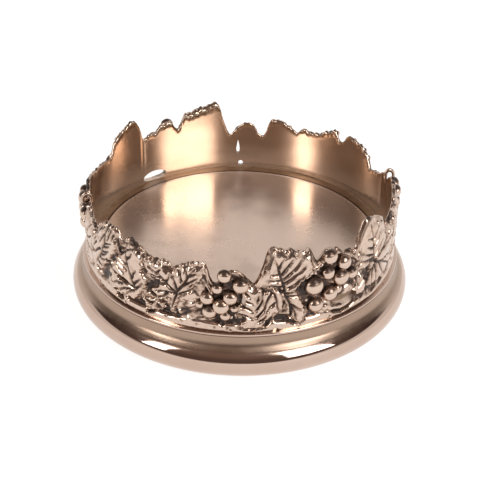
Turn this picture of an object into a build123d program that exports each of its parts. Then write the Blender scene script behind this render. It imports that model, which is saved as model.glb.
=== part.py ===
"""Wine bottle coaster: a spun roll base, a floor disc and a cast vine gallery in two halves.

Millimetres, +Z up. The origin lies on the table at the middle of the baize, and -Y is the front.
Angles round the gallery start at the front and grow towards +X.
"""
import os
from math import cos, radians, sin

from build123d import *

# Gallery, two equal castings soldered to the base and to each other
gallery_inner_radius = 57.9
gallery_wall = 2.5
gallery_height = 35.0
gallery_fit = 0.2
foot_band_height = 2.0
foot_band_projection = 0.7
leaf_relief = 1.1
seam_angle = 5.0
solder_leg_across = 2.2
solder_leg_up = 1.7

# Base, one spinning of thin sheet: deck, boss, shelf with its lip, neck, roll and turned hem
sheet_thickness = 1.0
deck_lap = 4.8
boss_rise = 3.3
lip_projection = 1.6
lip_overhang = 0.6
lip_thickness = 1.3
lip_edge_radius = 0.35
neck_rise = 5.165
roll_setback = 1.25
roll_section_radius = 6.35
roll_top_angle = 58.0
hem_width = 6.15

# Floor disc, lying on the deck of the base
floor_margin = 2.9
floor_thickness = 1.0
floor_edge_radius = 0.35

# Underside: a backing disc held by the turned hem, and baize glued to it
baize_thickness = 1.5
baize_clearance = 0.2
backing_thickness = 1.0
backing_overlap = 3.5

# Pierced work in the wall
oval_hole_width = 12.4
oval_hole_height = 4.3
slit_width = 1.6
slit_height = 6.4
round_hole_radius = 1.2

# One overrun for every cut
overrun = 2.0

# Radii that follow from the sizes above
boss_radius = gallery_inner_radius - gallery_fit
floor_radius = boss_radius - floor_margin
deck_inner_radius = floor_radius - deck_lap
gallery_outer_radius = gallery_inner_radius + gallery_wall
leaf_outer_radius = gallery_outer_radius + leaf_relief
lip_radius = gallery_outer_radius + lip_projection
neck_radius = lip_radius - lip_overhang
roll_center_radius = neck_radius - roll_setback
roll_outer_radius = roll_center_radius + roll_section_radius
hem_inner_radius = roll_center_radius - hem_width

# Heights that follow, from the table up: the baize stands proud of the hem
hem_top = baize_thickness
hem_bottom = hem_top - sheet_thickness
roll_center_height = hem_bottom + roll_section_radius
roll_top_height = roll_center_height + roll_section_radius * sin(radians(roll_top_angle))
neck_height = roll_top_height + neck_rise
shelf_height = neck_height + lip_thickness
deck_height = shelf_height + boss_rise
half_turn = 180.0

# Crest of a casting: angle in degrees, height as a share of gallery_height
crest_shares = [
    (5.0, 0.55), (6.3, 0.59), (7.2, 0.67), (8.0, 0.75), (9.3, 0.84), (10.2, 0.94), (12.0, 0.97),
    (14.0, 0.95), (15.5, 0.91), (17.0, 0.93), (19.0, 0.90), (20.5, 0.91), (22.0, 0.88), (23.0, 0.85),
    (24.5, 0.88), (25.6, 0.84), (26.6, 0.74), (27.8, 0.71), (29.2, 0.73), (31.5, 0.80), (36.0, 0.80),
    (38.0, 0.73), (42.0, 0.72), (45.0, 0.69), (46.0, 0.78), (47.2, 0.87), (48.5, 0.95), (50.0, 0.99),
    (51.5, 1.0), (54.0, 0.96), (56.0, 0.95), (57.5, 0.91), (59.0, 0.90), (60.0, 0.88), (61.0, 0.85),
    (62.5, 0.81), (63.5, 0.76), (65.0, 0.70), (67.0, 0.72), (69.0, 0.70), (71.5, 0.74), (74.0, 0.71),
    (76.5, 0.75), (79.0, 0.73), (81.5, 0.76), (84.0, 0.72), (87.0, 0.77), (90.0, 0.75), (93.0, 0.79),
    (96.0, 0.75), (99.0, 0.78), (103.0, 0.78), (105.5, 0.74), (107.0, 0.67), (110.0, 0.63),
    (116.0, 0.60), (118.0, 0.68), (120.4, 0.76), (123.0, 0.80), (126.0, 0.82), (130.7, 0.84),
    (132.7, 0.77), (134.8, 0.71), (137.0, 0.76), (139.3, 0.83), (142.0, 0.78), (144.0, 0.76),
    (147.0, 0.71), (151.0, 0.69), (152.5, 0.71), (157.0, 0.64), (159.0, 0.69), (163.0, 0.75),
    (167.0, 0.76), (169.3, 0.70), (169.9, 0.58), (172.0, 0.54), (174.2, 0.58), (175.0, 0.67),
    (178.0, 0.70), (181.0, 0.67), (183.0, 0.60), (185.0, 0.55),
]

# Leaf outlines: angle in degrees, height as a share of gallery_height
leaf_shares = {
    "seam_start": [(4.0, 0.02), (7.0, 0.03), (9.2, 0.10), (9.6, 0.21), (9.0, 0.33), (8.0, 0.42),
                   (6.6, 0.49), (4.0, 0.53)],
    "tall_leaf": [(6.0, 0.57), (7.0, 0.65), (8.4, 0.72), (9.6, 0.84), (10.6, 0.93), (12.0, 0.95),
                  (14.0, 0.93), (15.5, 0.89), (17.0, 0.91), (20.5, 0.89), (23.0, 0.84), (25.2, 0.85),
                  (24.6, 0.77), (26.0, 0.69), (24.0, 0.61), (21.0, 0.55), (19.4, 0.47), (20.4, 0.39),
                  (23.0, 0.29), (23.4, 0.20), (21.0, 0.10), (18.6, 0.06), (16.6, 0.16), (15.4, 0.28),
                  (14.4, 0.40), (12.0, 0.41), (9.4, 0.44), (7.6, 0.50)],
    "curled_lobe": [(8.8, 0.14), (11.0, 0.09), (13.4, 0.20), (14.2, 0.33), (12.6, 0.43),
                    (9.6, 0.42), (8.0, 0.28)],
    "broad_leaf": [(42.4, 0.20), (44.0, 0.12), (48.0, 0.13), (51.0, 0.09), (56.0, 0.11), (60.0, 0.10),
                   (65.0, 0.15), (67.6, 0.24), (65.0, 0.34), (69.6, 0.44), (70.0, 0.55), (66.0, 0.62),
                   (63.0, 0.70), (61.6, 0.79), (58.0, 0.87), (55.0, 0.92), (51.5, 0.97), (48.6, 0.92),
                   (46.6, 0.83), (45.4, 0.68), (43.6, 0.62), (44.6, 0.50), (47.6, 0.43), (44.0, 0.34)],
    "side_leaf": [(71.0, 0.12), (76.0, 0.08), (81.0, 0.14), (83.6, 0.26), (82.6, 0.42), (84.0, 0.54),
                  (82.4, 0.66), (78.0, 0.71), (74.0, 0.68), (72.4, 0.56), (70.6, 0.42), (69.6, 0.26)],
    "hanging_leaf": [(99.0, 0.14), (104.0, 0.07), (110.0, 0.09), (114.6, 0.16), (115.6, 0.32),
                     (113.0, 0.44), (114.6, 0.56), (110.0, 0.60), (105.0, 0.58), (101.0, 0.48),
                     (99.6, 0.32)],
    "pleated_leaf": [(116.0, 0.26), (118.6, 0.16), (123.0, 0.12), (128.0, 0.16), (129.6, 0.30),
                     (130.6, 0.44), (133.0, 0.54), (132.6, 0.66), (132.0, 0.76), (129.0, 0.81),
                     (124.0, 0.79), (120.6, 0.73), (117.6, 0.60), (115.6, 0.44)],
    "pointed_leaf": [(129.4, 0.14), (134.0, 0.08), (139.0, 0.10), (142.6, 0.14), (144.4, 0.28),
                     (147.6, 0.40), (145.6, 0.52), (145.0, 0.66), (143.6, 0.74), (140.0, 0.79),
                     (138.4, 0.82), (137.0, 0.74), (135.4, 0.68), (133.0, 0.56), (131.4, 0.44),
                     (129.0, 0.34)],
    "three_lobe_leaf": [(145.4, 0.20), (146.6, 0.11), (151.0, 0.09), (155.0, 0.16), (157.4, 0.25),
                        (159.0, 0.16), (161.6, 0.12), (165.0, 0.22), (163.6, 0.34), (161.6, 0.42),
                        (165.6, 0.50), (168.6, 0.60), (168.0, 0.72), (164.6, 0.74), (161.0, 0.70),
                        (158.4, 0.66), (156.6, 0.61), (154.0, 0.68), (150.6, 0.67), (147.0, 0.68),
                        (145.6, 0.60), (146.4, 0.44), (151.0, 0.40), (154.6, 0.36), (151.4, 0.31),
                        (147.0, 0.30)],
    "seam_end": [(186.0, 0.02), (182.0, 0.03), (179.4, 0.10), (178.8, 0.24), (179.4, 0.38),
                 (181.0, 0.48), (183.0, 0.52), (186.0, 0.53)],
}

# Grapes: angle in degrees, height and radius as shares of gallery_height
grape_shares = [
    (31.8, 0.75, 0.085), (31.3, 0.57, 0.066), (26.0, 0.46, 0.100), (36.8, 0.47, 0.085),
    (38.0, 0.63, 0.082), (32.5, 0.31, 0.080), (27.0, 0.21, 0.077), (30.5, 0.15, 0.040),
    (86.5, 0.66, 0.082), (92.5, 0.71, 0.080), (89.5, 0.50, 0.088), (95.5, 0.54, 0.082),
    (86.0, 0.33, 0.080), (92.0, 0.31, 0.085), (97.0, 0.38, 0.070), (90.0, 0.15, 0.075),
    (175.2, 0.64, 0.074), (172.6, 0.50, 0.052), (169.2, 0.38, 0.068), (176.8, 0.42, 0.066),
    (173.8, 0.29, 0.084), (169.8, 0.21, 0.066), (175.2, 0.18, 0.052), (180.6, 0.57, 0.078),
]

# Stalk loop standing on the crest
loop_angle = 101.5
loop_height_share = 0.79
loop_radius = 2.3
loop_wire_radius = 0.85

# Places of the pierced work
oval_hole_angle = 39.6
oval_hole_height_share = 0.17
slit_angle = 181.7
slit_height_share = 0.42
round_hole_angle = 180.4
round_hole_height_share = 0.17

# A patch of wall is cut from a flat outline, so the half ring is built from five of them
wall_patches = 5


def height_at(share):
    """Height of a point of the gallery above the table."""
    return shelf_height + share * gallery_height


def facing(angle):
    """Plane through the axis that looks straight out of the gallery at an angle."""
    turn = radians(angle)
    return Plane(origin=(0, 0, 0), x_dir=(cos(turn), sin(turn), 0), z_dir=(sin(turn), -cos(turn), 0))


def level_away_from(angle, height):
    """Level plane whose x axis points away from an angle, where a ring then has its seam line."""
    turn = radians(angle)
    return Plane(origin=(0, 0, height), x_dir=(-sin(turn), cos(turn), 0), z_dir=(0, 0, 1))


def on_gallery(radius, angle, height):
    """A point at a radius, an angle and a height."""
    turn = radians(angle)
    return (radius * sin(turn), -radius * cos(turn), height)


def flat_point(angle, middle, share):
    """Where a point of the gallery lands on the plane that faces the middle angle."""
    return (gallery_outer_radius * sin(radians(angle - middle)), height_at(share))


def crest_share_at(angle):
    """Share of the height that the crest has at any angle, between its points."""
    for (start, low), (end, high) in zip(crest_shares, crest_shares[1:]):
        if start <= angle <= end:
            return low + (high - low) * (angle - start) / (end - start)
    return crest_shares[-1][1]


def curved_plate(points, middle, outer_radius):
    """A flat outline pushed out through the wall and trimmed to a curved plate."""
    with BuildPart() as plate:
        with BuildSketch(facing(middle)):
            with BuildLine():
                Polyline(*points, close=True)
            make_face()
        extrude(amount=outer_radius + overrun)
        with BuildSketch(level_away_from(middle, 0)):
            Circle(outer_radius)
            Circle(gallery_inner_radius, mode=Mode.SUBTRACT)
        extrude(amount=shelf_height + gallery_height + overrun, mode=Mode.INTERSECT)
    return plate.part


def wall_patch(start, end):
    """The stretch of wall between two angles, from its foot to its crest."""
    middle = (start + end) / 2
    inside = [(angle, share) for angle, share in crest_shares if start < angle < end]
    crest = [(start, crest_share_at(start))] + inside + [(end, crest_share_at(end))]
    outline = [flat_point(start, middle, 0), flat_point(end, middle, 0)]
    outline += [flat_point(angle, middle, share) for angle, share in reversed(crest)]
    return curved_plate(outline, middle, gallery_outer_radius)


def leaf_plate(outline_shares):
    """A leaf that stands proud of the wall."""
    angles = [angle for angle, share in outline_shares]
    middle = (min(angles) + max(angles)) / 2
    outline = [flat_point(angle, middle, share) for angle, share in outline_shares]
    return curved_plate(outline, middle, leaf_outer_radius)


# Spun base: deck, boss, shelf with its lip, neck, roll and turned hem in one section
with BuildPart() as base_roll:
    with BuildSketch(Plane.XZ):
        with BuildLine():
            roll_outside = CenterArc((roll_center_radius, roll_center_height), roll_section_radius,
                                     roll_top_angle, -(roll_top_angle + half_turn / 2))
            roll_inside = CenterArc((roll_center_radius, roll_center_height),
                                    roll_section_radius - sheet_thickness,
                                    roll_top_angle, -(roll_top_angle + half_turn / 2))
            Polyline(roll_outside @ 0, (neck_radius, neck_height), (lip_radius, neck_height),
                     (lip_radius, shelf_height), (boss_radius, shelf_height),
                     (boss_radius, deck_height), (deck_inner_radius, deck_height),
                     (deck_inner_radius, deck_height - sheet_thickness),
                     (boss_radius - sheet_thickness, deck_height - sheet_thickness),
                     (boss_radius - sheet_thickness, shelf_height - sheet_thickness),
                     (neck_radius - sheet_thickness, shelf_height - sheet_thickness),
                     (neck_radius - sheet_thickness, neck_height), roll_inside @ 0)
            Polyline(roll_outside @ 1, (hem_inner_radius, hem_bottom), (hem_inner_radius, hem_top),
                     roll_inside @ 1)
        make_face()
    revolve(axis=Axis.Z)
    lip_edges = base_roll.edges().filter_by(GeomType.CIRCLE).filter_by(
        lambda edge: abs(edge.radius - lip_radius) < lip_edge_radius)
    fillet(lip_edges, radius=lip_edge_radius)

# Floor disc that the bottle stands on
with BuildPart() as floor_plate:
    with BuildSketch(Plane.XY.offset(deck_height)):
        Circle(floor_radius)
    extrude(amount=floor_thickness)
    fillet(floor_plate.faces().sort_by(Axis.Z)[-1].edges(), radius=floor_edge_radius)

# Solder run round the corner between the deck and the gallery
with BuildPart() as solder_fillet:
    with BuildSketch(Plane.XZ):
        with BuildLine():
            toe = (gallery_inner_radius - solder_leg_across, deck_height)
            corner = (gallery_inner_radius, deck_height)
            top = (gallery_inner_radius, deck_height + solder_leg_up)
            hollow = (gallery_inner_radius - solder_leg_across / 3, deck_height + solder_leg_up / 3)
            ThreePointArc(toe, hollow, top)
            Polyline(toe, corner, top)
        make_face()
    revolve(axis=Axis.Z)

# Backing disc, held by the turned hem
with BuildPart() as backing_disc:
    with BuildSketch(Plane.XY.offset(hem_top)):
        Circle(hem_inner_radius + backing_overlap)
    extrude(amount=backing_thickness)

# Baize glued to the backing disc, a little proud of the metal
with BuildPart() as baize_pad:
    with BuildSketch(Plane.XY):
        Circle(hem_inner_radius - baize_clearance)
    extrude(amount=baize_thickness)

patch_span = half_turn / wall_patches
patch_starts = [seam_angle + patch_span * count for count in range(wall_patches)]
wall_parts = [wall_patch(start, start + patch_span) for start in patch_starts]
leaf_parts = [leaf_plate(outline_shares) for outline_shares in leaf_shares.values()]

# Right casting: wall, foot band, leaves, grapes and stalk loop, then pierced and cut at its seams
with BuildPart() as gallery_right:
    for piece in wall_parts + leaf_parts:
        add(piece)
    with BuildSketch(level_away_from(seam_angle + half_turn / 2, shelf_height)):
        Circle(gallery_outer_radius + foot_band_projection)
        Circle(gallery_inner_radius, mode=Mode.SUBTRACT)
    extrude(amount=foot_band_height)
    for angle, height_share, radius_share in grape_shares:
        grape_plane = facing(angle)
        grape_plane.origin = on_gallery(gallery_outer_radius, angle, height_at(height_share))
        with Locations(grape_plane):
            Sphere(radius_share * gallery_height)
    loop_place = on_gallery(gallery_outer_radius - loop_wire_radius, loop_angle,
                            height_at(loop_height_share))
    with Locations(Plane(origin=loop_place, z_dir=facing(loop_angle).x_dir)):
        Torus(loop_radius, loop_wire_radius)
    with BuildSketch(facing(oval_hole_angle)):
        with Locations((0, height_at(oval_hole_height_share))):
            SlotOverall(oval_hole_width, oval_hole_height)
    extrude(amount=roll_outer_radius, mode=Mode.SUBTRACT)
    with BuildSketch(facing(slit_angle)):
        with Locations((0, height_at(slit_height_share))):
            SlotOverall(slit_height, slit_width, rotation=90)
    extrude(amount=roll_outer_radius, mode=Mode.SUBTRACT)
    with BuildSketch(facing(round_hole_angle)):
        with Locations((0, height_at(round_hole_height_share))):
            Circle(round_hole_radius)
    extrude(amount=roll_outer_radius, mode=Mode.SUBTRACT)
    with BuildSketch(level_away_from(seam_angle + half_turn / 2, shelf_height - overrun)):
        Circle(gallery_inner_radius)
    extrude(amount=gallery_height + 2 * overrun, mode=Mode.SUBTRACT)
    split(bisect_by=facing(seam_angle + half_turn / 2), keep=Keep.TOP)

# Left casting: the same casting turned half round
with BuildPart() as gallery_left:
    add(gallery_right.part.rotate(Axis.Z, half_turn))

pieces = {
    "base_roll": base_roll,
    "floor_plate": floor_plate,
    "solder_fillet": solder_fillet,
    "backing_disc": backing_disc,
    "baize_pad": baize_pad,
    "gallery_right": gallery_right,
    "gallery_left": gallery_left,
}

os.makedirs("parts", exist_ok=True)
for name, piece in pieces.items():
    piece.part.label = name
    export_step(piece.part, f"parts/{name}.step")
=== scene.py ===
"""Wine bottle coaster: polished roll base, flat floor and a cast vine gallery in two halves.

Metres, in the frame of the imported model. The tables are in millimetres and degrees.
"""
import math

import bpy
import numpy as np
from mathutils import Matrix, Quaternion, Vector


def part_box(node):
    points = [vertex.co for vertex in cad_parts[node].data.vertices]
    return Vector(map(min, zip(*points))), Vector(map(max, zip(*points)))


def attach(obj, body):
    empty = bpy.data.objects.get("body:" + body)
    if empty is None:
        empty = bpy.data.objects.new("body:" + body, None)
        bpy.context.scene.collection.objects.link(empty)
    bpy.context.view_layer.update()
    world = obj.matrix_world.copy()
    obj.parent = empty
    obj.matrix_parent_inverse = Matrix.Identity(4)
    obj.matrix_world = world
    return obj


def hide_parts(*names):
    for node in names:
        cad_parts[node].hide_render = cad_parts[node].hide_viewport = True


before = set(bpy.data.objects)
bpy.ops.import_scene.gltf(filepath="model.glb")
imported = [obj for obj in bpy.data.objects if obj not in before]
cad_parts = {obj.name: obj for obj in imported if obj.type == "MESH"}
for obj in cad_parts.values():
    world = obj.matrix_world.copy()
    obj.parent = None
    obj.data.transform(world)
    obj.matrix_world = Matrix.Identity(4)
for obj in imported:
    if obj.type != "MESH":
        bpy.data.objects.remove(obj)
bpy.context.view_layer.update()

# A millimetre in metres
MM = 0.001
# Farther, in mm, than anything on the casting
far_away = 1e6

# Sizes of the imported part, read back from its nodes
base_low, base_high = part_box("base_roll")
floor_low, floor_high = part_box("floor_plate")
backing_low, backing_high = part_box("backing_disc")
baize_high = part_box("baize_pad")[1]
gallery_low, gallery_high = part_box("gallery_right")
roll_outer_radius = base_high.x / MM
deck_height = base_high.z / MM
hem_bottom = base_low.z / MM
floor_radius = floor_high.x / MM
floor_bottom, floor_top = floor_low.z / MM, floor_high.z / MM
backing_radius = backing_high.x / MM
backing_bottom, backing_top = backing_low.z / MM, backing_high.z / MM
baize_radius = baize_high.x / MM
baize_top = baize_high.z / MM
shelf_height = gallery_low.z / MM
crest_limit = gallery_high.z / MM

# Sizes shared with the part's source
gallery_inner_radius = 57.9
boss_radius = 57.7
lip_radius = 62.0
neck_radius = 61.4
neck_height = 17.4
sheet_thickness = 1.0
roll_section_radius = 6.35
roll_center_radius = roll_outer_radius - roll_section_radius
roll_center_height = hem_bottom + roll_section_radius
roll_top_angle = 58.0
hem_inner_radius = 54.0
deck_inner_radius = 50.0
first_seam, last_seam = 5.0, 185.0

# As the photograph shows them: how far in the solder's toe runs over the floor's edge, and how much
# lower the floor lies than the solid's
solder_toe = 53.9
floor_wear = 0.6

# Relief of the casting, outwards from its background
drawing_radius = 60.4
drawing_base = 2.0
grape_radius = 60.3
grape_flatness = 0.78
background_radius = 59.3
background_height = 0.65
band_height = 1.5
band_top = 20.2
band_blend = 1.2
lip_wall = 0.9
lip_rise = 2.4
crest_round = 0.42

# Grid of the casting: columns along it, and rows up its outer face, over its lip and down its inner face
columns = 600
outer_rows = 104
lip_rows = 4
inner_rows = 12


def linear(hex_colour):
    """An sRGB hex colour as the linear colour that a socket takes, by the sRGB standard's curve."""
    channels = [int(hex_colour[start:start + 2], 16) / 255 for start in (1, 3, 5)]
    return tuple(c / 12.92 if c <= 0.04045 else ((c + 0.055) / 1.055) ** 2.4 for c in channels) + (1.0,)


def pattern_scale(size):
    """Scale of a noise texture whose patches are about size mm across."""
    return 1 / (size * MM)


def clear_selection():
    """Nothing selected and nothing active, so that an operator acts only on what comes next."""
    bpy.ops.object.select_all(action="DESELECT")
    bpy.context.view_layer.objects.active = None


def only(piece):
    """Selects one piece and makes it active."""
    clear_selection()
    piece.select_set(True)
    bpy.context.view_layer.objects.active = piece


def add_node(tree, kind, values=None, links=None, stops=None, **settings):
    """Adds a node with its settings, socket values, colour stops and links from other outputs."""
    node = tree.nodes.new(kind)
    for name, value in settings.items():
        setattr(node, name, value)
    for name, value in (values or {}).items():
        node.inputs[name].default_value = value
    if stops:
        for stop in stops[2:]:
            node.color_ramp.elements.new(stop[0])
        for element, (place, hex_colour) in zip(node.color_ramp.elements, sorted(stops)):
            element.position = place
            element.color = linear(hex_colour)
    for name, source in (links or {}).items():
        tree.links.new(source, node.inputs[name])
    return node


def new_material(name):
    """An empty node material, its tree and its output node."""
    material = bpy.data.materials.new(name)
    material.use_nodes = True
    material.node_tree.nodes.clear()
    return material, material.node_tree, material.node_tree.nodes.new("ShaderNodeOutputMaterial")


def polished_nickel_spinning():
    """Spun brass plated with nickel: a warm mirror on the roll, a satin neck that the buff never reached,
    tarnished brown and darkened with painted shade under the lip.
    """
    tone_patch, wiping_mark = 22.2, 3.85
    neck_start, neck_full = 10.8, 12.6
    lip_margin = 0.3
    neck_roughness, neck_tarnish_and_shade = 0.25, 0.6
    material, tree, output = new_material("polished_nickel_spinning")
    place = add_node(tree, "ShaderNodeTexCoord").outputs["Object"]
    height = add_node(tree, "ShaderNodeSeparateXYZ", links={"Vector": place}).outputs["Z"]
    cloud = add_node(tree, "ShaderNodeTexNoise", {"Scale": pattern_scale(tone_patch), "Detail": 3.0},
                     {"Vector": place})
    tone = add_node(tree, "ShaderNodeValToRGB", links={"Fac": cloud.outputs["Fac"]},
                    stops=[(0.3, "#BCA394"), (0.7, "#C5AEA0")])
    wipe = add_node(tree, "ShaderNodeTexNoise", {"Scale": pattern_scale(wiping_mark), "Detail": 4.0},
                    {"Vector": place})
    shine = add_node(tree, "ShaderNodeMapRange", {"From Min": 0.35, "From Max": 0.75, "To Min": 0.05,
                     "To Max": 0.11}, {"Value": wipe.outputs["Fac"]})
    above_roll = add_node(tree, "ShaderNodeMapRange", {"From Min": neck_start * MM,
                          "From Max": neck_full * MM}, {"Value": height})
    below_lip = add_node(tree, "ShaderNodeMapRange", {"From Min": neck_height * MM,
                         "From Max": (neck_height - lip_margin) * MM}, {"Value": height})
    neck = add_node(tree, "ShaderNodeMath", operation="MULTIPLY",
                    links={0: above_roll.outputs["Result"], 1: below_lip.outputs["Result"]})
    rough = add_node(tree, "ShaderNodeMath", {1: neck_roughness}, operation="MULTIPLY_ADD",
                     links={0: neck.outputs["Value"], 2: shine.outputs["Result"]})
    # Darker brown on the neck: tarnished where the buff never reached, and painted shade under the lip
    tarnish_and_shade = add_node(tree, "ShaderNodeMath", {1: neck_tarnish_and_shade}, operation="MULTIPLY",
                       links={0: neck.outputs["Value"]})
    tarnished_and_shaded = add_node(tree, "ShaderNodeMix", {7: linear("#8C745E")}, data_type="RGBA",
                    links={0: tarnish_and_shade.outputs["Value"], 6: tone.outputs["Color"]})
    chatter = add_node(tree, "ShaderNodeMath", operation="MULTIPLY",
                       links={0: wipe.outputs["Fac"], 1: neck.outputs["Value"]})
    bump = add_node(tree, "ShaderNodeBump", {"Strength": 0.03, "Distance": 0.5 * MM},
                    {"Height": chatter.outputs["Value"]})
    metal = add_node(tree, "ShaderNodeBsdfPrincipled", {"Metallic": 1.0},
                     {"Base Color": tarnished_and_shaded.outputs[2], "Roughness": rough.outputs["Value"],
                      "Normal": bump.outputs["Normal"]})
    tree.links.new(metal.outputs["BSDF"], output.inputs["Surface"])
    return material


def satin_nickel_floor():
    """Flat plated disc, wiped for years: a satin mirror with cloudy dull patches and soft smudges."""
    dull_patch, finger_smudge = 35.7, 14.3
    material, tree, output = new_material("satin_nickel_floor")
    place = add_node(tree, "ShaderNodeTexCoord").outputs["Object"]
    cloud = add_node(tree, "ShaderNodeTexNoise", {"Scale": pattern_scale(dull_patch), "Detail": 5.0,
                     "Roughness": 0.6}, {"Vector": place})
    tone = add_node(tree, "ShaderNodeValToRGB", links={"Fac": cloud.outputs["Fac"]},
                    stops=[(0.3, "#D2BAAA"), (0.7, "#DDC7B8")])
    smudge = add_node(tree, "ShaderNodeTexNoise", {"Scale": pattern_scale(finger_smudge), "Detail": 2.0},
                      {"Vector": place})
    smudged = add_node(tree, "ShaderNodeMapRange", {"From Min": 0.45, "From Max": 0.75, "To Max": 0.3},
                       {"Value": smudge.outputs["Fac"]}, interpolation_type="SMOOTHSTEP")
    spotted = add_node(tree, "ShaderNodeMix", {7: linear("#8E7868")}, data_type="RGBA",
                       links={0: smudged.outputs["Result"], 6: tone.outputs["Color"]})
    rough = add_node(tree, "ShaderNodeMapRange", {"From Min": 0.3, "From Max": 0.7, "To Min": 0.24,
                     "To Max": 0.33}, {"Value": cloud.outputs["Fac"]})
    metal = add_node(tree, "ShaderNodeBsdfPrincipled", {"Metallic": 0.75},
                     {"Base Color": spotted.outputs[2], "Roughness": rough.outputs["Result"]})
    tree.links.new(metal.outputs["BSDF"], output.inputs["Surface"])
    return material


def satin_nickel_wall():
    """Inside of the casting, brushed round before plating: satin, brown and dull towards its foot, tarnished
    there and darkened with painted shade in the corner with the floor.
    """
    # Real brush lines are under 0.1 mm wide. They are drawn coarser, so that they show
    brush_line, tone_patch = 0.556, 16.7
    line_stretch = 0.05
    foot_shade_start, foot_shade_full = 25.0, 22.2
    satin_height, dull_height = 26.5, 22.5
    browned_height, bare_height = 26.0, 36.0
    material, tree, output = new_material("satin_nickel_wall")
    place = add_node(tree, "ShaderNodeTexCoord").outputs["Object"]
    height = add_node(tree, "ShaderNodeSeparateXYZ", links={"Vector": place}).outputs["Z"]
    stretch = add_node(tree, "ShaderNodeMapping", {"Scale": (line_stretch, line_stretch, 1.0)},
                       {"Vector": place})
    brush = add_node(tree, "ShaderNodeTexNoise", {"Scale": pattern_scale(brush_line), "Detail": 3.0},
                     {"Vector": stretch.outputs["Vector"]})
    cloud = add_node(tree, "ShaderNodeTexNoise", {"Scale": pattern_scale(tone_patch), "Detail": 3.0},
                     {"Vector": place})
    tone = add_node(tree, "ShaderNodeValToRGB", links={"Fac": cloud.outputs["Fac"]},
                    stops=[(0.3, "#C8B19B"), (0.7, "#D5C0AC")])
    # Darker brown towards the foot: tarnished, and painted shade in the corner where the wall meets the floor
    tarnish_and_shade = add_node(tree, "ShaderNodeMapRange", {"From Min": foot_shade_start * MM,
                       "From Max": foot_shade_full * MM, "To Max": 0.3}, {"Value": height},
                       interpolation_type="SMOOTHSTEP")
    tarnished_and_shaded = add_node(tree, "ShaderNodeMix", {7: linear("#6B5848")}, data_type="RGBA",
                    links={0: tarnish_and_shade.outputs["Result"], 6: tone.outputs["Color"]})
    rough = add_node(tree, "ShaderNodeMapRange", {"From Min": 0.3, "From Max": 0.7, "To Min": 0.11,
                     "To Max": 0.18}, {"Value": brush.outputs["Fac"]})
    dull = add_node(tree, "ShaderNodeMapRange", {"From Min": satin_height * MM,
                    "From Max": dull_height * MM, "To Max": 0.16}, {"Value": height},
                    interpolation_type="SMOOTHSTEP")
    duller = add_node(tree, "ShaderNodeMath", links={0: rough.outputs["Result"], 1: dull.outputs["Result"]},
                      operation="ADD")
    bump = add_node(tree, "ShaderNodeBump", {"Strength": 0.08, "Distance": 0.1 * MM},
                    {"Height": brush.outputs["Fac"]})
    bare = add_node(tree, "ShaderNodeMapRange", {"From Min": browned_height * MM,
                    "From Max": bare_height * MM, "To Min": 0.8}, {"Value": height},
                    interpolation_type="SMOOTHSTEP")
    metal = add_node(tree, "ShaderNodeBsdfPrincipled",
                     links={"Base Color": tarnished_and_shaded.outputs[2], "Metallic": bare.outputs["Result"],
                            "Roughness": duller.outputs["Value"], "Normal": bump.outputs["Normal"]})
    tree.links.new(metal.outputs["BSDF"], output.inputs["Surface"])
    return material


def antiqued_nickel_casting():
    """Cast leaves, plated and buffed on top, with dark brown antique patina left in every hollow, and painted
    shade on the grapes' tops and the curled lip.
    """
    # The sand of the mould leaves a grain of about 0.3 mm. It is drawn coarser, so that it shows
    sand_grain = 1.11
    material, tree, output = new_material("antiqued_nickel_casting")
    place = add_node(tree, "ShaderNodeTexCoord").outputs["Object"]
    grain = add_node(tree, "ShaderNodeTexNoise", {"Scale": pattern_scale(sand_grain), "Detail": 3.0},
                     {"Vector": place})
    # The attribute holds the antique patina, and painted shade on the grapes' tops and the curled lip
    darkening = add_node(tree, "ShaderNodeAttribute", attribute_name="antiquing_and_shade")
    uneven = add_node(tree, "ShaderNodeMapRange", {"From Min": 0.3, "From Max": 0.7, "To Min": -0.12,
                      "To Max": 0.12}, {"Value": grain.outputs["Fac"]})
    amount = add_node(tree, "ShaderNodeMath", links={0: darkening.outputs["Fac"], 1: uneven.outputs["Result"]},
                      operation="ADD", use_clamp=True)
    tone = add_node(tree, "ShaderNodeValToRGB", links={"Fac": amount.outputs["Value"]},
                    stops=[(0.06, "#D0B9A9"), (0.97, "#30231C"), (0.4, "#AA9180"), (0.72, "#5A473D")])
    rough = add_node(tree, "ShaderNodeMapRange", {"From Min": 0.1, "From Max": 0.8, "To Min": 0.17,
                     "To Max": 0.33}, {"Value": amount.outputs["Value"]})
    metallic = add_node(tree, "ShaderNodeMapRange", {"From Min": 0.45, "From Max": 1.0, "To Min": 1.0,
                        "To Max": 0.4}, {"Value": amount.outputs["Value"]})
    bump = add_node(tree, "ShaderNodeBump", {"Strength": 0.15, "Distance": 0.2 * MM},
                    {"Height": grain.outputs["Fac"]})
    metal = add_node(tree, "ShaderNodeBsdfPrincipled",
                     links={"Base Color": tone.outputs["Color"], "Roughness": rough.outputs["Result"],
                            "Metallic": metallic.outputs["Result"], "Normal": bump.outputs["Normal"]})
    tree.links.new(metal.outputs["BSDF"], output.inputs["Surface"])
    return material


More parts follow.
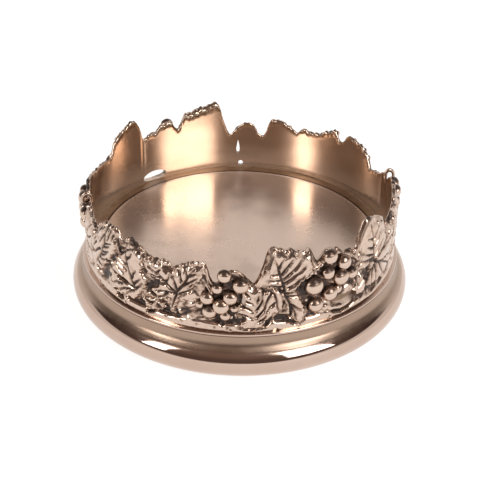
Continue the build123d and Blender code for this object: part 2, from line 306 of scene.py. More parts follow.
def soft_solder():
    """Wiped tin solder, tarnished brown: duller than the plate, and dark along its toe with old soldering
    residue and painted shade in the corner against the floor.
    """
    wiped_lump = 3.12
    flux_shade_start, flux_shade_full = solder_toe + 1.0, solder_toe + 0.3
    material, tree, output = new_material("soft_solder")
    place = add_node(tree, "ShaderNodeTexCoord").outputs["Object"]
    level = add_node(tree, "ShaderNodeVectorMath", {1: (1.0, 1.0, 0.0)}, {0: place}, operation="MULTIPLY")
    radius = add_node(tree, "ShaderNodeVectorMath", links={0: level.outputs["Vector"]}, operation="LENGTH")
    lumps = add_node(tree, "ShaderNodeTexNoise", {"Scale": pattern_scale(wiped_lump), "Detail": 3.0},
                     {"Vector": place})
    tone = add_node(tree, "ShaderNodeValToRGB", links={"Fac": lumps.outputs["Fac"]},
                    stops=[(0.3, "#A08670"), (0.7, "#B59B85")])
    # Darker towards the toe: old soldering residue, and painted shade in the corner against the floor
    flux_and_shade = add_node(tree, "ShaderNodeMapRange", {"From Min": flux_shade_start * MM,
                    "From Max": flux_shade_full * MM}, {"Value": radius.outputs["Value"]},
                    interpolation_type="SMOOTHSTEP")
    flux_shaded_tone = add_node(tree, "ShaderNodeMix", {7: linear("#46342A")}, data_type="RGBA",
                     links={0: flux_and_shade.outputs["Result"], 6: tone.outputs["Color"]})
    rough = add_node(tree, "ShaderNodeMapRange", {"From Min": 0.3, "From Max": 0.7, "To Min": 0.42,
                     "To Max": 0.56}, {"Value": lumps.outputs["Fac"]})
    bump = add_node(tree, "ShaderNodeBump", {"Strength": 0.15, "Distance": 0.3 * MM},
                    {"Height": lumps.outputs["Fac"]})
    metal = add_node(tree, "ShaderNodeBsdfPrincipled", {"Metallic": 1.0},
                     {"Base Color": flux_shaded_tone.outputs[2], "Roughness": rough.outputs["Result"],
                      "Normal": bump.outputs["Normal"]})
    tree.links.new(metal.outputs["BSDF"], output.inputs["Surface"])
    return material


def rolled_tinplate():
    """Tinned steel disc under the base: cool grey, rolled in one direction."""
    # Real rolling lines are about 0.1 mm wide. They are drawn coarser, so that they show
    rolling_line, line_stretch = 1.11, 0.05
    material, tree, output = new_material("rolled_tinplate")
    place = add_node(tree, "ShaderNodeTexCoord").outputs["Object"]
    stretch = add_node(tree, "ShaderNodeMapping", {"Scale": (line_stretch, 1.0, 1.0)}, {"Vector": place})
    lines = add_node(tree, "ShaderNodeTexNoise", {"Scale": pattern_scale(rolling_line), "Detail": 2.0},
                     {"Vector": stretch.outputs["Vector"]})
    tone = add_node(tree, "ShaderNodeValToRGB", links={"Fac": lines.outputs["Fac"]},
                    stops=[(0.3, "#9C9A96"), (0.7, "#B9B7B2")])
    rough = add_node(tree, "ShaderNodeMapRange", {"From Min": 0.3, "From Max": 0.7, "To Min": 0.3,
                     "To Max": 0.45}, {"Value": lines.outputs["Fac"]})
    metal = add_node(tree, "ShaderNodeBsdfPrincipled", {"Metallic": 1.0},
                     {"Base Color": tone.outputs["Color"], "Roughness": rough.outputs["Result"]})
    tree.links.new(metal.outputs["BSDF"], output.inputs["Surface"])
    return material


def green_baize():
    """Milled wool baize: matt, with a felted nap that catches a little light at the edge."""
    # The real nap's tufts are about 0.3 mm wide. They are drawn coarser, so that they show
    nap_tuft = 0.91
    material, tree, output = new_material("green_baize")
    place = add_node(tree, "ShaderNodeTexCoord").outputs["Object"]
    nap = add_node(tree, "ShaderNodeTexNoise", {"Scale": pattern_scale(nap_tuft), "Detail": 6.0,
                   "Roughness": 0.7}, {"Vector": place})
    tone = add_node(tree, "ShaderNodeValToRGB", links={"Fac": nap.outputs["Fac"]},
                    stops=[(0.3, "#16351F"), (0.7, "#2F5C39")])
    bump = add_node(tree, "ShaderNodeBump", {"Strength": 0.6, "Distance": 0.4 * MM},
                    {"Height": nap.outputs["Fac"]})
    cloth = add_node(tree, "ShaderNodeBsdfPrincipled", {"Roughness": 0.95, "Sheen Weight": 0.35},
                     {"Base Color": tone.outputs["Color"], "Normal": bump.outputs["Normal"]})
    tree.links.new(cloth.outputs["BSDF"], output.inputs["Surface"])
    return material


def arc(center_radius, center_height, radius, start, end, count):
    """Points of a section along an arc; angles in degrees, 0 points outwards and 90 up."""
    turns = [math.radians(start + (end - start) * step / count) for step in range(count + 1)]
    return [(center_radius + radius * math.cos(t), center_height + radius * math.sin(t)) for t in turns]


def turned(name, section, material, steps=192, smooth_angle=35.0):
    """A closed section, in mm, spun round the axis as on a lathe."""
    merge_within = 0.005
    clear_selection()
    mesh = bpy.data.meshes.new(name)
    piece = bpy.data.objects.new(name, mesh)
    bpy.context.scene.collection.objects.link(piece)
    count = len(section)
    mesh.from_pydata([(radius * MM, 0, height * MM) for radius, height in section],
                     [(here, (here + 1) % count) for here in range(count)], [])
    only(piece)
    bpy.ops.object.mode_set(mode="EDIT")
    bpy.ops.mesh.select_all(action="SELECT")
    bpy.ops.mesh.spin(steps=steps, angle=2 * math.pi, center=(0, 0, 0), axis=(0, 0, 1))
    bpy.ops.mesh.select_all(action="SELECT")
    bpy.ops.mesh.remove_doubles(threshold=merge_within * MM)
    bpy.ops.mesh.normals_make_consistent(inside=False)
    bpy.ops.object.mode_set(mode="OBJECT")
    bpy.ops.object.shade_smooth_by_angle(angle=math.radians(smooth_angle))
    mesh.materials.append(material)
    return piece


def make_base(material):
    """The spinning: deck, boss, shelf with its rounded lip, neck, hollow roll and turned hem."""
    edge = 0.45
    neck_bend = 0.5
    skirt = roll_section_radius - sheet_thickness
    crease_angle = roll_top_angle - 2.0
    # Radius and height where the top of the roll sweeps up into the neck
    flare = [(63.2, 12.6), (62.75, 12.95), (62.3, 13.5), (61.98, 14.2), (61.76, 15.0), (61.6, 16.0)]
    section = arc(roll_center_radius, roll_center_height, roll_section_radius, -90, crease_angle, count=60)
    section += flare
    section += arc(neck_radius + neck_bend, neck_height - neck_bend, neck_bend, 180, 90, count=4)
    section += arc(lip_radius - edge, neck_height + edge, edge, -90, 0, count=5)
    section += arc(lip_radius - edge, shelf_height - edge, edge, 0, 90, count=5)
    section += [(boss_radius, shelf_height)]
    section += arc(boss_radius - edge, deck_height - edge, edge, 0, 90, count=4)
    section += [(deck_inner_radius, deck_height), (deck_inner_radius, deck_height - sheet_thickness),
                (boss_radius - sheet_thickness, deck_height - sheet_thickness),
                (boss_radius - sheet_thickness, shelf_height - sheet_thickness),
                (neck_radius - sheet_thickness, shelf_height - sheet_thickness),
                (neck_radius - sheet_thickness, neck_height)]
    section += arc(roll_center_radius, roll_center_height, skirt, roll_top_angle, -90, count=40)
    section += arc(hem_inner_radius + sheet_thickness / 2, hem_bottom + sheet_thickness / 2,
                   sheet_thickness / 2, 90, 270, count=8)
    return turned("base_spinning", section, material)


def make_floor(material):
    """The disc that the bottle stands on, its edge turned up in a fine bead inside the solder."""
    worn_top = floor_top - floor_wear
    rim_drop = 0.05
    bead_half, bead_rise, bead_steps = 0.4, 0.2, 6
    bead_radius = solder_toe - bead_half
    bead_run, middle_radius = 3.0, 30.0
    section = [(0.0, floor_bottom), (floor_radius, floor_bottom), (floor_radius, worn_top - rim_drop),
               (bead_radius + bead_half, worn_top)]
    section += [(bead_radius + bead_half * math.cos(turn), worn_top + bead_rise * math.sin(turn))
                for turn in (math.pi * step / bead_steps for step in range(1, bead_steps))]
    section += [(bead_radius - bead_half, worn_top), (bead_radius - bead_run, worn_top),
                (middle_radius, worn_top), (0.0, worn_top)]
    return turned("floor_disc", section, material)


def make_solder(material):
    """The run of solder between deck and gallery, hollow, its toe run on to the edge of the floor."""
    toe_lift = 0.04
    toe_height = floor_top - floor_wear + toe_lift
    # Distance in from the wall, and height above the toe
    hollow = [(0.0, 0.4), (0.12, 0.29), (0.4, 0.2), (0.85, 0.13), (1.5, 0.08), (2.3, 0.05), (3.2, 0.02)]
    section = [(gallery_inner_radius, deck_height)]
    section += [(gallery_inner_radius - inwards, toe_height + rise) for inwards, rise in hollow]
    section += [(solder_toe, toe_height), (solder_toe, deck_height)]
    return turned("solder_run", section, material)


def make_backing(material):
    """The stiff disc behind the baize, its rim eased where the hem holds it."""
    ease = 0.2
    section = [(0.0, backing_bottom)]
    section += arc(backing_radius - ease, backing_bottom + ease, ease, -90, 0, count=3)
    section += arc(backing_radius - ease, backing_top - ease, ease, 0, 90, count=3)
    section += [(0.0, backing_top)]
    return turned("backing_plate", section, material)


def make_baize(material):
    """The glued pad: its cut edge is soft and its face slightly uneven."""
    soft = 0.5
    # Radius and height of the face, which stands a hair off the table between its middle and its edge
    face = [(0.0, 0.0), (20.0, 0.0), (40.0, 0.02)]
    section = face + arc(baize_radius - soft, soft, soft, -90, 0, count=4)
    section += [(baize_radius, baize_top), (0.0, baize_top)]
    return turned("baize_felt", section, material, steps=160)


# Crest of a casting: angle, height above the drawing base
crest_line = [
    (5.0, 36.0), (6.3, 38.2), (7.2, 40.8), (8.0, 43.6), (8.8, 46.8), (9.6, 49.8), (10.6, 50.9),
    (12.0, 51.2), (13.2, 50.4), (14.2, 50.6), (15.4, 49.4), (16.3, 49.3), (17.2, 49.9), (18.4, 49.0),
    (19.3, 49.1), (20.5, 48.5), (21.4, 47.7), (22.2, 47.9), (23.0, 47.5), (24.0, 48.2), (24.7, 47.9),
    (25.6, 46.0), (26.6, 43.0), (27.6, 41.8), (28.6, 42.0), (29.3, 43.0), (30.3, 44.6), (31.5, 45.6),
    (33.0, 45.6), (34.6, 45.0), (36.0, 45.0), (37.0, 43.8), (38.0, 42.5), (39.2, 42.3), (40.4, 42.4),
    (42.0, 42.1), (43.2, 41.4), (44.2, 41.0), (45.1, 42.0), (46.0, 45.0), (47.1, 48.0), (48.1, 50.0),
    (49.1, 51.4), (50.2, 51.6), (51.4, 51.5), (52.6, 50.7), (53.6, 50.6), (54.6, 49.9), (56.3, 49.7),
    (57.2, 48.8), (58.9, 48.6), (60.3, 47.5), (61.8, 46.4), (63.4, 43.6), (65.2, 41.2), (66.4, 41.9),
    (68.0, 41.3), (70.0, 42.0), (72.0, 41.8), (74.0, 42.5), (76.0, 42.3), (78.0, 42.8), (80.0, 42.4),
    (82.0, 43.3), (84.0, 43.6), (86.0, 44.7), (88.0, 45.0), (90.5, 45.8), (93.0, 46.0), (95.5, 45.2),
    (97.5, 43.4), (99.5, 41.2), (101.0, 40.2), (102.6, 41.0), (104.0, 42.2), (105.4, 42.0), (106.7, 40.7),
    (108.5, 39.2), (110.5, 39.2), (112.0, 38.6), (114.4, 38.1), (116.7, 37.6), (118.0, 40.2), (119.0, 42.0),
    (120.4, 43.6), (121.4, 43.5), (122.4, 44.7), (124.0, 45.3), (125.2, 45.0), (126.6, 45.7),
    (128.0, 45.3), (129.5, 46.1), (130.7, 46.4), (131.8, 45.6), (132.7, 43.6), (133.7, 42.3),
    (134.8, 41.9), (136.0, 42.2), (137.0, 43.6), (138.0, 45.4), (139.0, 46.0), (140.0, 45.2),
    (141.0, 45.0), (142.0, 43.9), (143.2, 44.0), (144.2, 42.8), (145.2, 42.8), (146.2, 41.7),
    (147.4, 41.8), (148.8, 41.2), (150.0, 41.7), (151.2, 41.3), (152.5, 42.0), (153.8, 41.9),
    (154.8, 41.2), (155.8, 40.2), (156.8, 39.6), (157.8, 40.6), (158.8, 40.8), (159.8, 42.2),
    (161.0, 42.3), (162.2, 43.3), (163.6, 43.4), (165.0, 44.2), (166.2, 43.8), (167.3, 44.2),
    (168.3, 42.8), (169.1, 40.8), (169.8, 38.0), (170.7, 36.4), (172.0, 36.0), (173.2, 36.8),
    (174.2, 38.6), (175.0, 40.8), (176.2, 41.5), (177.5, 41.7), (179.0, 41.4), (180.4, 40.8),
    (181.4, 40.0), (182.3, 38.8), (183.2, 37.6), (184.2, 36.6), (185.0, 36.0),
]

# Leaves, from the lowest to the topmost: level of the face, outline and veins, as (angle, height)
leaves = [
    # Seam start
    (1.3,
     [(2.0, 17.6), (7.6, 18.2), (9.2, 20.0), (9.9, 22.6), (9.9, 26.0), (9.6, 29.0), (9.0, 31.5),
      (7.4, 34.2), (5.6, 35.6), (2.0, 36.0)],
     [[(6.0, 26.0), (7.0, 27.8), (8.2, 30.2)], [(6.2, 22.8), (7.6, 24.6), (9.2, 26.8)],
      [(7.0, 20.9), (8.0, 21.5), (9.2, 22.6)], [(6.2, 29.6), (6.5, 30.6), (6.4, 31.4)]]),
    # Curled lobe
    (1.15,
     [(8.2, 33.8), (10.0, 34.4), (12.4, 33.8), (14.2, 32.6), (15.4, 30.5), (15.0, 27.5), (15.2, 25.0),
      (13.4, 23.4), (12.0, 24.2), (11.0, 22.6), (9.8, 20.8), (8.8, 21.4), (9.4, 24.0), (8.6, 27.0),
      (7.8, 30.6)],
     [[(8.4, 33.4), (10.4, 33.4), (11.9, 31.8), (12.8, 29.0), (13.0, 26.6), (13.8, 24.0)],
      [(10.9, 32.4), (9.9, 30.6), (9.2, 28.4), (8.9, 27.0)], [(12.2, 28.2), (10.6, 27.0), (9.6, 24.6)]]),
    # Tall leaf tail
    (1.35,
     [(15.0, 33.6), (18.6, 33.4), (20.2, 31.0), (21.0, 28.6), (22.4, 26.0), (23.0, 23.4), (22.7, 21.0),
      (22.3, 18.9), (20.8, 18.3), (19.4, 19.2), (18.4, 20.6), (17.0, 20.4), (16.4, 23.0), (16.2, 26.0),
      (15.6, 28.4), (14.4, 30.4)],
     [[(15.2, 33.0), (15.7, 30.4), (16.9, 28.4), (17.6, 26.2), (17.9, 23.8), (17.7, 21.9)],
      [(17.8, 25.6), (19.0, 24.0), (19.7, 20.6)], [(18.2, 26.4), (19.8, 25.0), (21.6, 23.5)],
      [(16.0, 30.4), (18.2, 30.2), (20.0, 30.2)], [(16.2, 32.0), (18.0, 32.4)]]),
    # Tall leaf
    (1.65,
     [(4.4, 35.8), (5.2, 38.6), (6.0, 41.0), (6.9, 43.4), (7.4, 46.0), (7.9, 49.0), (8.4, 52.6),
      (25.0, 52.6), (24.9, 47.6), (24.6, 44.6), (25.6, 41.6), (25.3, 39.3), (23.6, 37.7), (21.6, 35.7),
      (19.6, 33.5), (18.0, 32.4), (16.4, 32.0), (15.0, 32.6), (13.6, 34.3), (11.5, 34.7), (9.5, 34.4),
      (8.2, 34.6), (6.8, 35.0)],
     [[(15.2, 33.2), (14.8, 35.6), (14.0, 38.2), (13.2, 41.0), (12.6, 43.6), (11.5, 46.4)],
      [(13.1, 43.0), (13.8, 45.0), (14.8, 46.6)], [(14.1, 40.3), (15.6, 42.6), (17.8, 45.9)],
      [(14.9, 38.3), (17.6, 41.0), (19.6, 43.2), (20.9, 45.1)],
      [(15.0, 36.4), (18.0, 38.6), (20.2, 40.2), (22.4, 41.9)],
      [(16.4, 34.3), (18.8, 35.4), (20.8, 36.9), (22.2, 38.0)],
      [(13.3, 40.2), (11.6, 40.0), (10.2, 40.5)], [(13.9, 37.7), (11.4, 37.6), (9.0, 38.3)],
      [(14.6, 34.9), (12.6, 35.3), (11.0, 35.8), (8.0, 35.9)]]),
    # Hanging leaf
    (1.3,
     [(102.4, 25.0), (103.2, 21.6), (105.6, 20.0), (107.6, 21.0), (110.0, 19.6), (112.8, 20.6),
      (114.4, 23.0), (115.6, 27.0), (114.0, 30.6), (115.6, 34.6), (113.8, 38.4), (110.4, 39.6),
      (108.0, 39.4), (106.4, 41.6), (104.4, 43.8), (102.6, 41.8), (102.8, 38.6), (103.6, 35.6),
      (101.6, 33.6), (103.0, 29.6)],
     [[(107.0, 27.6), (106.6, 31.0), (105.8, 35.0), (104.6, 40.4)],
      [(106.6, 31.4), (108.6, 34.0), (111.0, 37.0)], [(106.8, 29.4), (109.6, 30.8), (112.8, 33.4)],
      [(107.0, 28.0), (110.0, 26.8), (113.4, 26.8)], [(107.2, 27.0), (108.2, 24.0), (110.4, 21.8)],
      [(106.2, 33.4), (104.6, 35.4), (103.8, 38.0)], [(106.8, 29.4), (104.8, 30.6), (103.0, 32.6)],
      [(107.0, 27.4), (105.0, 26.6), (103.4, 25.0)], [(107.0, 26.8), (106.2, 24.2), (105.6, 21.8)]]),
    # Side leaf
    (1.2,
     [(70.6, 25.0), (72.6, 21.8), (76.0, 20.4), (80.0, 19.4), (84.0, 20.6), (87.8, 23.0), (87.0, 26.4),
      (89.6, 29.8), (87.6, 33.2), (89.4, 36.6), (87.0, 40.8), (82.6, 43.6), (79.0, 41.8), (75.4, 42.6),
      (73.0, 39.0), (74.0, 35.0), (70.8, 32.0), (72.0, 28.4)],
     [[(78.6, 27.6), (79.4, 32.0), (80.4, 36.0), (81.8, 41.0)],
      [(79.4, 32.0), (82.4, 34.4), (86.4, 37.6)], [(79.0, 29.8), (83.0, 30.8), (87.4, 31.8)],
      [(78.6, 27.4), (82.2, 25.8), (86.0, 24.8)], [(78.4, 27.0), (79.4, 23.8), (81.6, 21.4)],
      [(79.8, 34.0), (77.4, 36.2), (75.8, 39.6)], [(79.0, 29.6), (76.0, 31.0), (72.6, 31.6)],
      [(78.4, 27.4), (75.2, 26.2), (72.6, 25.0)], [(80.4, 36.6), (82.6, 38.4), (84.8, 40.6)]]),
    # Low lobe
    (1.25,
     [(88.6, 22.4), (91.4, 20.0), (95.0, 20.8), (98.4, 19.4), (101.6, 21.4), (103.0, 24.6), (101.0, 28.0),
      (97.4, 26.8), (94.0, 28.8), (90.4, 27.2)],
     [[(95.8, 23.8), (98.4, 24.8), (101.0, 26.0)], [(95.8, 23.8), (93.2, 25.0), (90.8, 25.2)],
      [(95.8, 23.6), (96.8, 21.8), (98.2, 20.8)], [(95.6, 23.6), (93.6, 22.2), (91.6, 21.6)],
      [(95.8, 24.0), (95.2, 25.6), (94.4, 27.0)]]),
    # Broad leaf blade
    (1.2,
     [(43.0, 24.4), (44.0, 22.2), (46.0, 21.0), (49.0, 21.2), (50.2, 23.0), (50.0, 26.0), (48.6, 28.6),
      (46.6, 30.6), (44.8, 30.2), (43.6, 28.0), (44.4, 26.2)],
     [[(44.6, 30.0), (45.0, 27.4), (46.2, 25.2)], [(49.4, 28.4), (48.2, 26.0), (46.0, 24.2)]]),
    # Broad leaf
    (1.55,
     [(41.6, 40.4), (43.2, 41.2), (42.6, 43.6), (44.2, 44.5), (44.2, 46.8), (45.4, 48.0), (45.6, 50.2),
      (46.6, 53.4), (52.5, 53.4), (56.0, 49.0), (58.8, 48.6), (61.4, 45.6), (60.6, 42.6), (61.4, 40.0),
      (63.0, 41.8), (65.0, 42.6), (68.4, 41.6), (70.4, 38.6), (69.0, 35.6), (70.4, 33.0), (67.4, 30.4),
      (68.4, 27.4), (66.8, 24.2), (64.2, 23.6), (62.6, 21.8), (59.4, 22.6), (57.0, 21.2), (55.4, 22.6),
      (53.2, 21.4), (51.0, 22.4), (50.8, 25.6), (51.6, 28.0), (52.2, 30.4), (50.8, 30.8), (48.0, 30.8),
      (45.4, 32.2), (44.6, 33.8), (46.4, 34.6), (44.6, 36.0), (43.2, 38.0)],
     [[(54.4, 32.0), (53.6, 35.0), (53.2, 38.0), (52.4, 42.0), (51.8, 44.8), (50.6, 49.0)],
      [(52.2, 42.2), (50.8, 42.9), (49.0, 43.5)], [(52.4, 38.3), (50.8, 38.9), (49.2, 40.0)],
      [(53.0, 35.2), (51.0, 35.8), (48.2, 37.4), (45.0, 39.6)],
      [(53.4, 33.6), (50.6, 34.0), (47.6, 34.8), (44.8, 36.6)],
      [(54.0, 32.2), (51.6, 33.2), (51.4, 31.6), (48.4, 31.2), (45.2, 32.2)],
      [(53.8, 38.6), (55.6, 40.4), (57.0, 42.6)], [(53.0, 42.0), (54.4, 44.4), (55.4, 46.6)],
      [(54.6, 34.4), (57.6, 37.0), (59.6, 39.0)],
      [(55.0, 32.0), (58.0, 33.4), (61.6, 35.6), (66.0, 38.6)], [(60.6, 35.0), (62.8, 37.6), (65.0, 40.6)],
      [(60.0, 34.0), (64.0, 34.6), (68.0, 34.8)],
      [(55.0, 31.0), (58.6, 29.6), (62.4, 27.2), (66.2, 24.8)], [(60.0, 29.0), (64.0, 29.2), (67.0, 28.2)],
      [(57.6, 29.8), (59.6, 26.4), (62.0, 22.8)], [(55.0, 30.4), (55.8, 27.0), (56.8, 22.6)],
      [(54.6, 30.2), (53.4, 27.0), (53.6, 23.0)], [(54.0, 30.2), (51.8, 27.4), (50.8, 23.6)]]),
    # Pleated leaf
    (1.5,
     [(113.4, 29.6), (114.4, 34.0), (116.0, 38.0), (117.6, 41.6), (120.4, 44.6), (122.4, 45.6),
      (126.0, 47.6), (131.2, 47.8), (132.3, 44.0), (131.5, 42.0), (132.4, 39.6), (131.6, 37.0),
      (130.8, 35.0), (129.0, 33.5), (128.2, 31.4), (126.0, 29.2), (124.4, 27.0), (122.6, 24.6),
      (120.6, 22.4), (118.0, 21.4), (115.8, 22.6), (115.4, 25.0), (113.8, 26.6)],
     [[(126.6, 43.8), (125.9, 40.4), (125.4, 37.2), (123.6, 34.2), (122.4, 31.6), (120.2, 28.6),
       (118.2, 25.6)],
      [(125.4, 37.2), (127.2, 37.8), (129.6, 38.9)], [(124.6, 35.4), (126.4, 36.0), (128.4, 37.2)],
      [(123.4, 32.8), (125.6, 33.4), (127.6, 34.6)], [(122.2, 30.8), (124.2, 31.6), (126.2, 33.2)],
      [(121.0, 29.4), (123.4, 29.4), (125.4, 29.8)], [(119.6, 27.4), (121.6, 26.6), (123.2, 26.4)],
      [(122.8, 42.6), (120.6, 39.8), (118.4, 37.0), (116.6, 34.6)],
      [(119.6, 42.4), (118.0, 40.4), (116.8, 38.2)],
      [(119.2, 35.0), (117.8, 33.6), (116.4, 31.8)], [(122.0, 33.4), (119.6, 31.6), (117.0, 29.2)],
      [(125.4, 41.0), (123.6, 38.6), (121.8, 36.2)], [(128.8, 43.6), (128.2, 41.2), (127.2, 39.4)],
      [(130.6, 42.8), (130.0, 40.8)], [(124.6, 44.0), (124.0, 42.4)], [(121.4, 43.6), (120.4, 41.6)]]),
    # Three lobe foot
    (1.15,
     [(145.4, 20.2), (145.6, 23.0), (146.6, 24.8), (149.0, 24.9), (151.4, 24.4), (153.6, 24.4),
      (154.4, 22.4), (152.8, 20.6), (149.2, 19.7)],
     [[(146.2, 23.0), (148.4, 22.4), (150.0, 23.6)], [(151.0, 22.8), (152.6, 21.6)]]),
    # Pointed leaf
    (1.6,
     [(129.2, 28.8), (131.0, 31.5), (130.6, 33.0), (132.5, 33.8), (133.0, 36.2), (134.6, 37.0),
      (134.4, 39.2), (136.2, 40.2), (136.4, 42.4), (137.5, 43.2), (137.8, 47.4), (142.4, 46.6),
      (145.4, 43.6), (145.6, 40.2), (144.8, 38.4), (145.4, 36.8), (144.4, 34.6), (145.8, 33.0),
      (146.8, 31.0), (146.4, 28.5), (145.2, 26.5), (144.0, 24.6), (142.6, 22.4), (141.0, 20.6),
      (139.6, 21.6), (138.0, 20.2), (136.2, 21.2), (134.6, 19.9), (132.6, 21.4), (130.4, 21.0),
      (129.8, 23.2), (128.4, 24.8), (129.6, 26.6)],
     [[(141.6, 26.2), (140.2, 29.4), (139.4, 32.0), (138.2, 34.8), (137.6, 38.0), (136.6, 41.2)],
      [(140.6, 30.4), (141.0, 32.0), (142.0, 33.6)], [(141.4, 28.0), (142.8, 29.6), (144.2, 31.0)],
      [(142.0, 26.0), (143.4, 27.6), (144.9, 29.4)],
      [(138.2, 37.2), (139.6, 38.4), (140.6, 40.4)], [(137.9, 40.6), (139.6, 41.4), (141.4, 43.2)],
      [(137.4, 34.5), (135.8, 35.1), (134.0, 36.0)], [(137.6, 32.0), (135.4, 32.9), (133.4, 33.8)],
      [(136.0, 30.0), (134.2, 30.8), (132.4, 32.0)],
      [(141.0, 26.2), (137.6, 27.2), (134.4, 27.9), (130.0, 28.8)],
      [(139.8, 24.9), (136.6, 23.9), (134.0, 21.8)], [(141.2, 25.0), (138.6, 23.4), (137.2, 21.4)],
      [(135.6, 25.4), (132.4, 24.6), (130.0, 22.8)], [(137.2, 39.4), (135.9, 38.6)]]),
    # Three lobe leaf
    (1.5,
     [(145.6, 38.4), (145.4, 43.4), (150.0, 43.4), (154.4, 43.0), (156.2, 40.0), (157.0, 38.6),
      (157.8, 40.0), (158.4, 42.6), (161.4, 44.4), (165.4, 45.8), (167.8, 45.4), (168.6, 41.2),
      (168.0, 38.6), (167.0, 36.9), (165.0, 35.4), (162.8, 33.8), (164.8, 34.6), (165.6, 34.0),
      (164.6, 32.4), (162.4, 31.2), (160.6, 29.6), (159.2, 28.4), (158.6, 25.6), (157.6, 22.4),
      (156.0, 21.6), (155.7, 24.4), (156.4, 27.4), (154.6, 27.2), (153.0, 25.4), (150.8, 25.6),
      (150.4, 27.2), (148.4, 27.8), (148.6, 29.4), (151.4, 30.4), (151.8, 33.4), (149.4, 33.6),
      (147.0, 34.8), (146.8, 36.6)],
     [[(158.2, 30.4), (156.6, 31.6), (154.4, 33.8), (151.6, 36.2), (149.8, 36.8), (147.6, 38.0)],
      [(151.4, 36.4), (151.8, 37.4), (152.6, 38.2)], [(153.2, 35.0), (151.0, 34.6), (148.6, 34.8)],
      [(155.0, 33.2), (153.0, 32.6), (151.8, 32.2)], [(154.6, 33.8), (155.6, 35.4), (155.8, 37.2)],
      [(158.6, 31.6), (157.9, 34.2), (157.0, 37.0)], [(160.3, 35.4), (159.9, 37.6), (159.4, 39.8)],
      [(158.6, 30.6), (160.2, 33.0), (161.8, 35.4), (162.6, 37.6), (165.0, 41.4)],
      [(162.4, 37.4), (161.9, 39.6), (161.6, 41.4)], [(163.2, 38.4), (165.4, 39.6)],
      [(161.2, 34.2), (163.4, 35.6), (166.0, 37.8)], [(159.8, 30.2), (162.2, 31.6), (164.6, 33.6)],
      [(158.2, 29.8), (155.6, 29.8), (153.0, 29.4), (150.8, 28.8)],
      [(155.0, 29.2), (153.6, 27.4), (151.4, 26.4)], [(158.6, 29.8), (157.6, 27.0), (156.6, 23.2)]]),
    # Seam end
    (1.3,
     [(188.0, 17.6), (181.4, 18.0), (179.6, 18.9), (180.4, 20.4), (181.4, 22.2), (180.6, 23.6),
      (179.3, 25.0), (179.2, 27.2), (180.2, 28.8), (180.4, 30.6), (180.3, 32.4), (181.6, 33.6),
      (183.2, 35.2), (188.0, 36.4)],
     [[(181.2, 33.6), (182.4, 32.8), (183.4, 31.4)], [(181.5, 30.0), (183.0, 29.3), (184.5, 28.6)],
      [(180.8, 27.3), (182.6, 26.8), (184.3, 25.5)], [(181.0, 24.1), (182.6, 23.4), (184.2, 22.4)]]),
]

# Grapes: angle, height and radius
grapes = [
    (31.8, 43.2, 2.9), (31.3, 36.7, 2.6), (26.0, 32.9, 3.6), (36.8, 33.2, 3.3), (38.0, 38.8, 2.9),
    (32.5, 27.6, 3.0), (27.0, 24.4, 2.9), (30.6, 22.4, 1.5), (35.6, 28.4, 1.9), (42.0, 32.8, 2.3),
    (92.2, 40.6, 2.6), (97.4, 40.6, 3.0), (94.2, 35.0, 3.1), (99.6, 35.2, 2.7), (96.4, 30.0, 2.8),
    (91.2, 31.2, 1.9),
    (169.2, 30.2, 2.6), (177.0, 31.0, 2.7),
    (173.9, 27.2, 3.2), (170.0, 24.6, 2.7), (175.4, 23.4, 2.0), (180.4, 36.2, 3.0),
    (166.6, 27.2, 1.6), (178.4, 26.6, 1.5),
]

# The two grapes at the crest's last notch, which the rear casting has lower than the front one
front_crest_grapes = [(175.0, 39.9, 2.6), (172.6, 34.6, 2.1)]
rear_crest_grapes = [(175.8, 36.4, 2.3), (172.8, 33.2, 1.9)]

# Small beads on leaf tips and edges: angle, height and radius
beads = [
    (9.5, 49.3, 0.75), (11.3, 48.9, 0.8), (15.8, 48.2, 0.75), (18.8, 47.8, 0.75), (23.3, 47.2, 0.8),
    (9.0, 41.8, 0.8), (7.1, 39.4, 0.6), (8.9, 45.0, 0.6), (25.0, 38.4, 0.75), (26.3, 37.9, 0.7),
    (27.3, 39.3, 0.75), (29.0, 40.2, 0.8), (23.8, 26.8, 0.7), (27.8, 21.4, 0.7), (42.6, 22.4, 1.2),
    (46.4, 28.9, 0.9), (43.6, 40.8, 0.7), (45.6, 43.6, 0.75), (44.9, 46.4, 0.7), (47.2, 50.6, 1.1),
    (55.6, 47.4, 0.7), (58.6, 46.4, 0.7), (64.8, 41.0, 0.8), (68.6, 40.2, 0.7), (74.6, 40.8, 0.7),
    (79.4, 41.4, 0.8), (82.6, 39.0, 0.7), (104.6, 41.0, 0.8), (111.4, 38.0, 0.7),
    (114.8, 36.0, 0.7), (119.0, 41.2, 0.7), (121.6, 43.4, 0.75), (124.8, 44.2, 0.7), (128.4, 44.9, 0.75),
    (130.8, 44.6, 0.9), (133.4, 42.9, 0.8), (135.0, 42.5, 0.75), (137.9, 44.4, 0.9), (140.4, 42.9, 0.8),
    (138.8, 42.0, 0.6), (144.7, 42.4, 0.8), (146.0, 40.0, 0.65), (147.9, 40.1, 0.65), (151.3, 40.4, 0.7),
    (153.9, 40.8, 0.9), (149.6, 39.4, 0.55), (159.6, 41.2, 0.65), (161.8, 42.4, 0.6), (163.2, 42.7, 0.6),
    (165.0, 43.2, 0.6), (166.7, 43.4, 0.65), (167.8, 41.9, 0.6), (168.2, 39.6, 0.55), (145.2, 22.8, 0.9),
    (148.0, 21.6, 0.85), (150.4, 21.4, 0.75), (144.4, 27.2, 0.6), (129.0, 30.6, 0.7), (120.2, 21.8, 0.8),
    (178.9, 37.0, 0.8), (179.0, 23.2, 0.7), (177.4, 22.0, 0.7), (181.0, 19.6, 0.6),
]

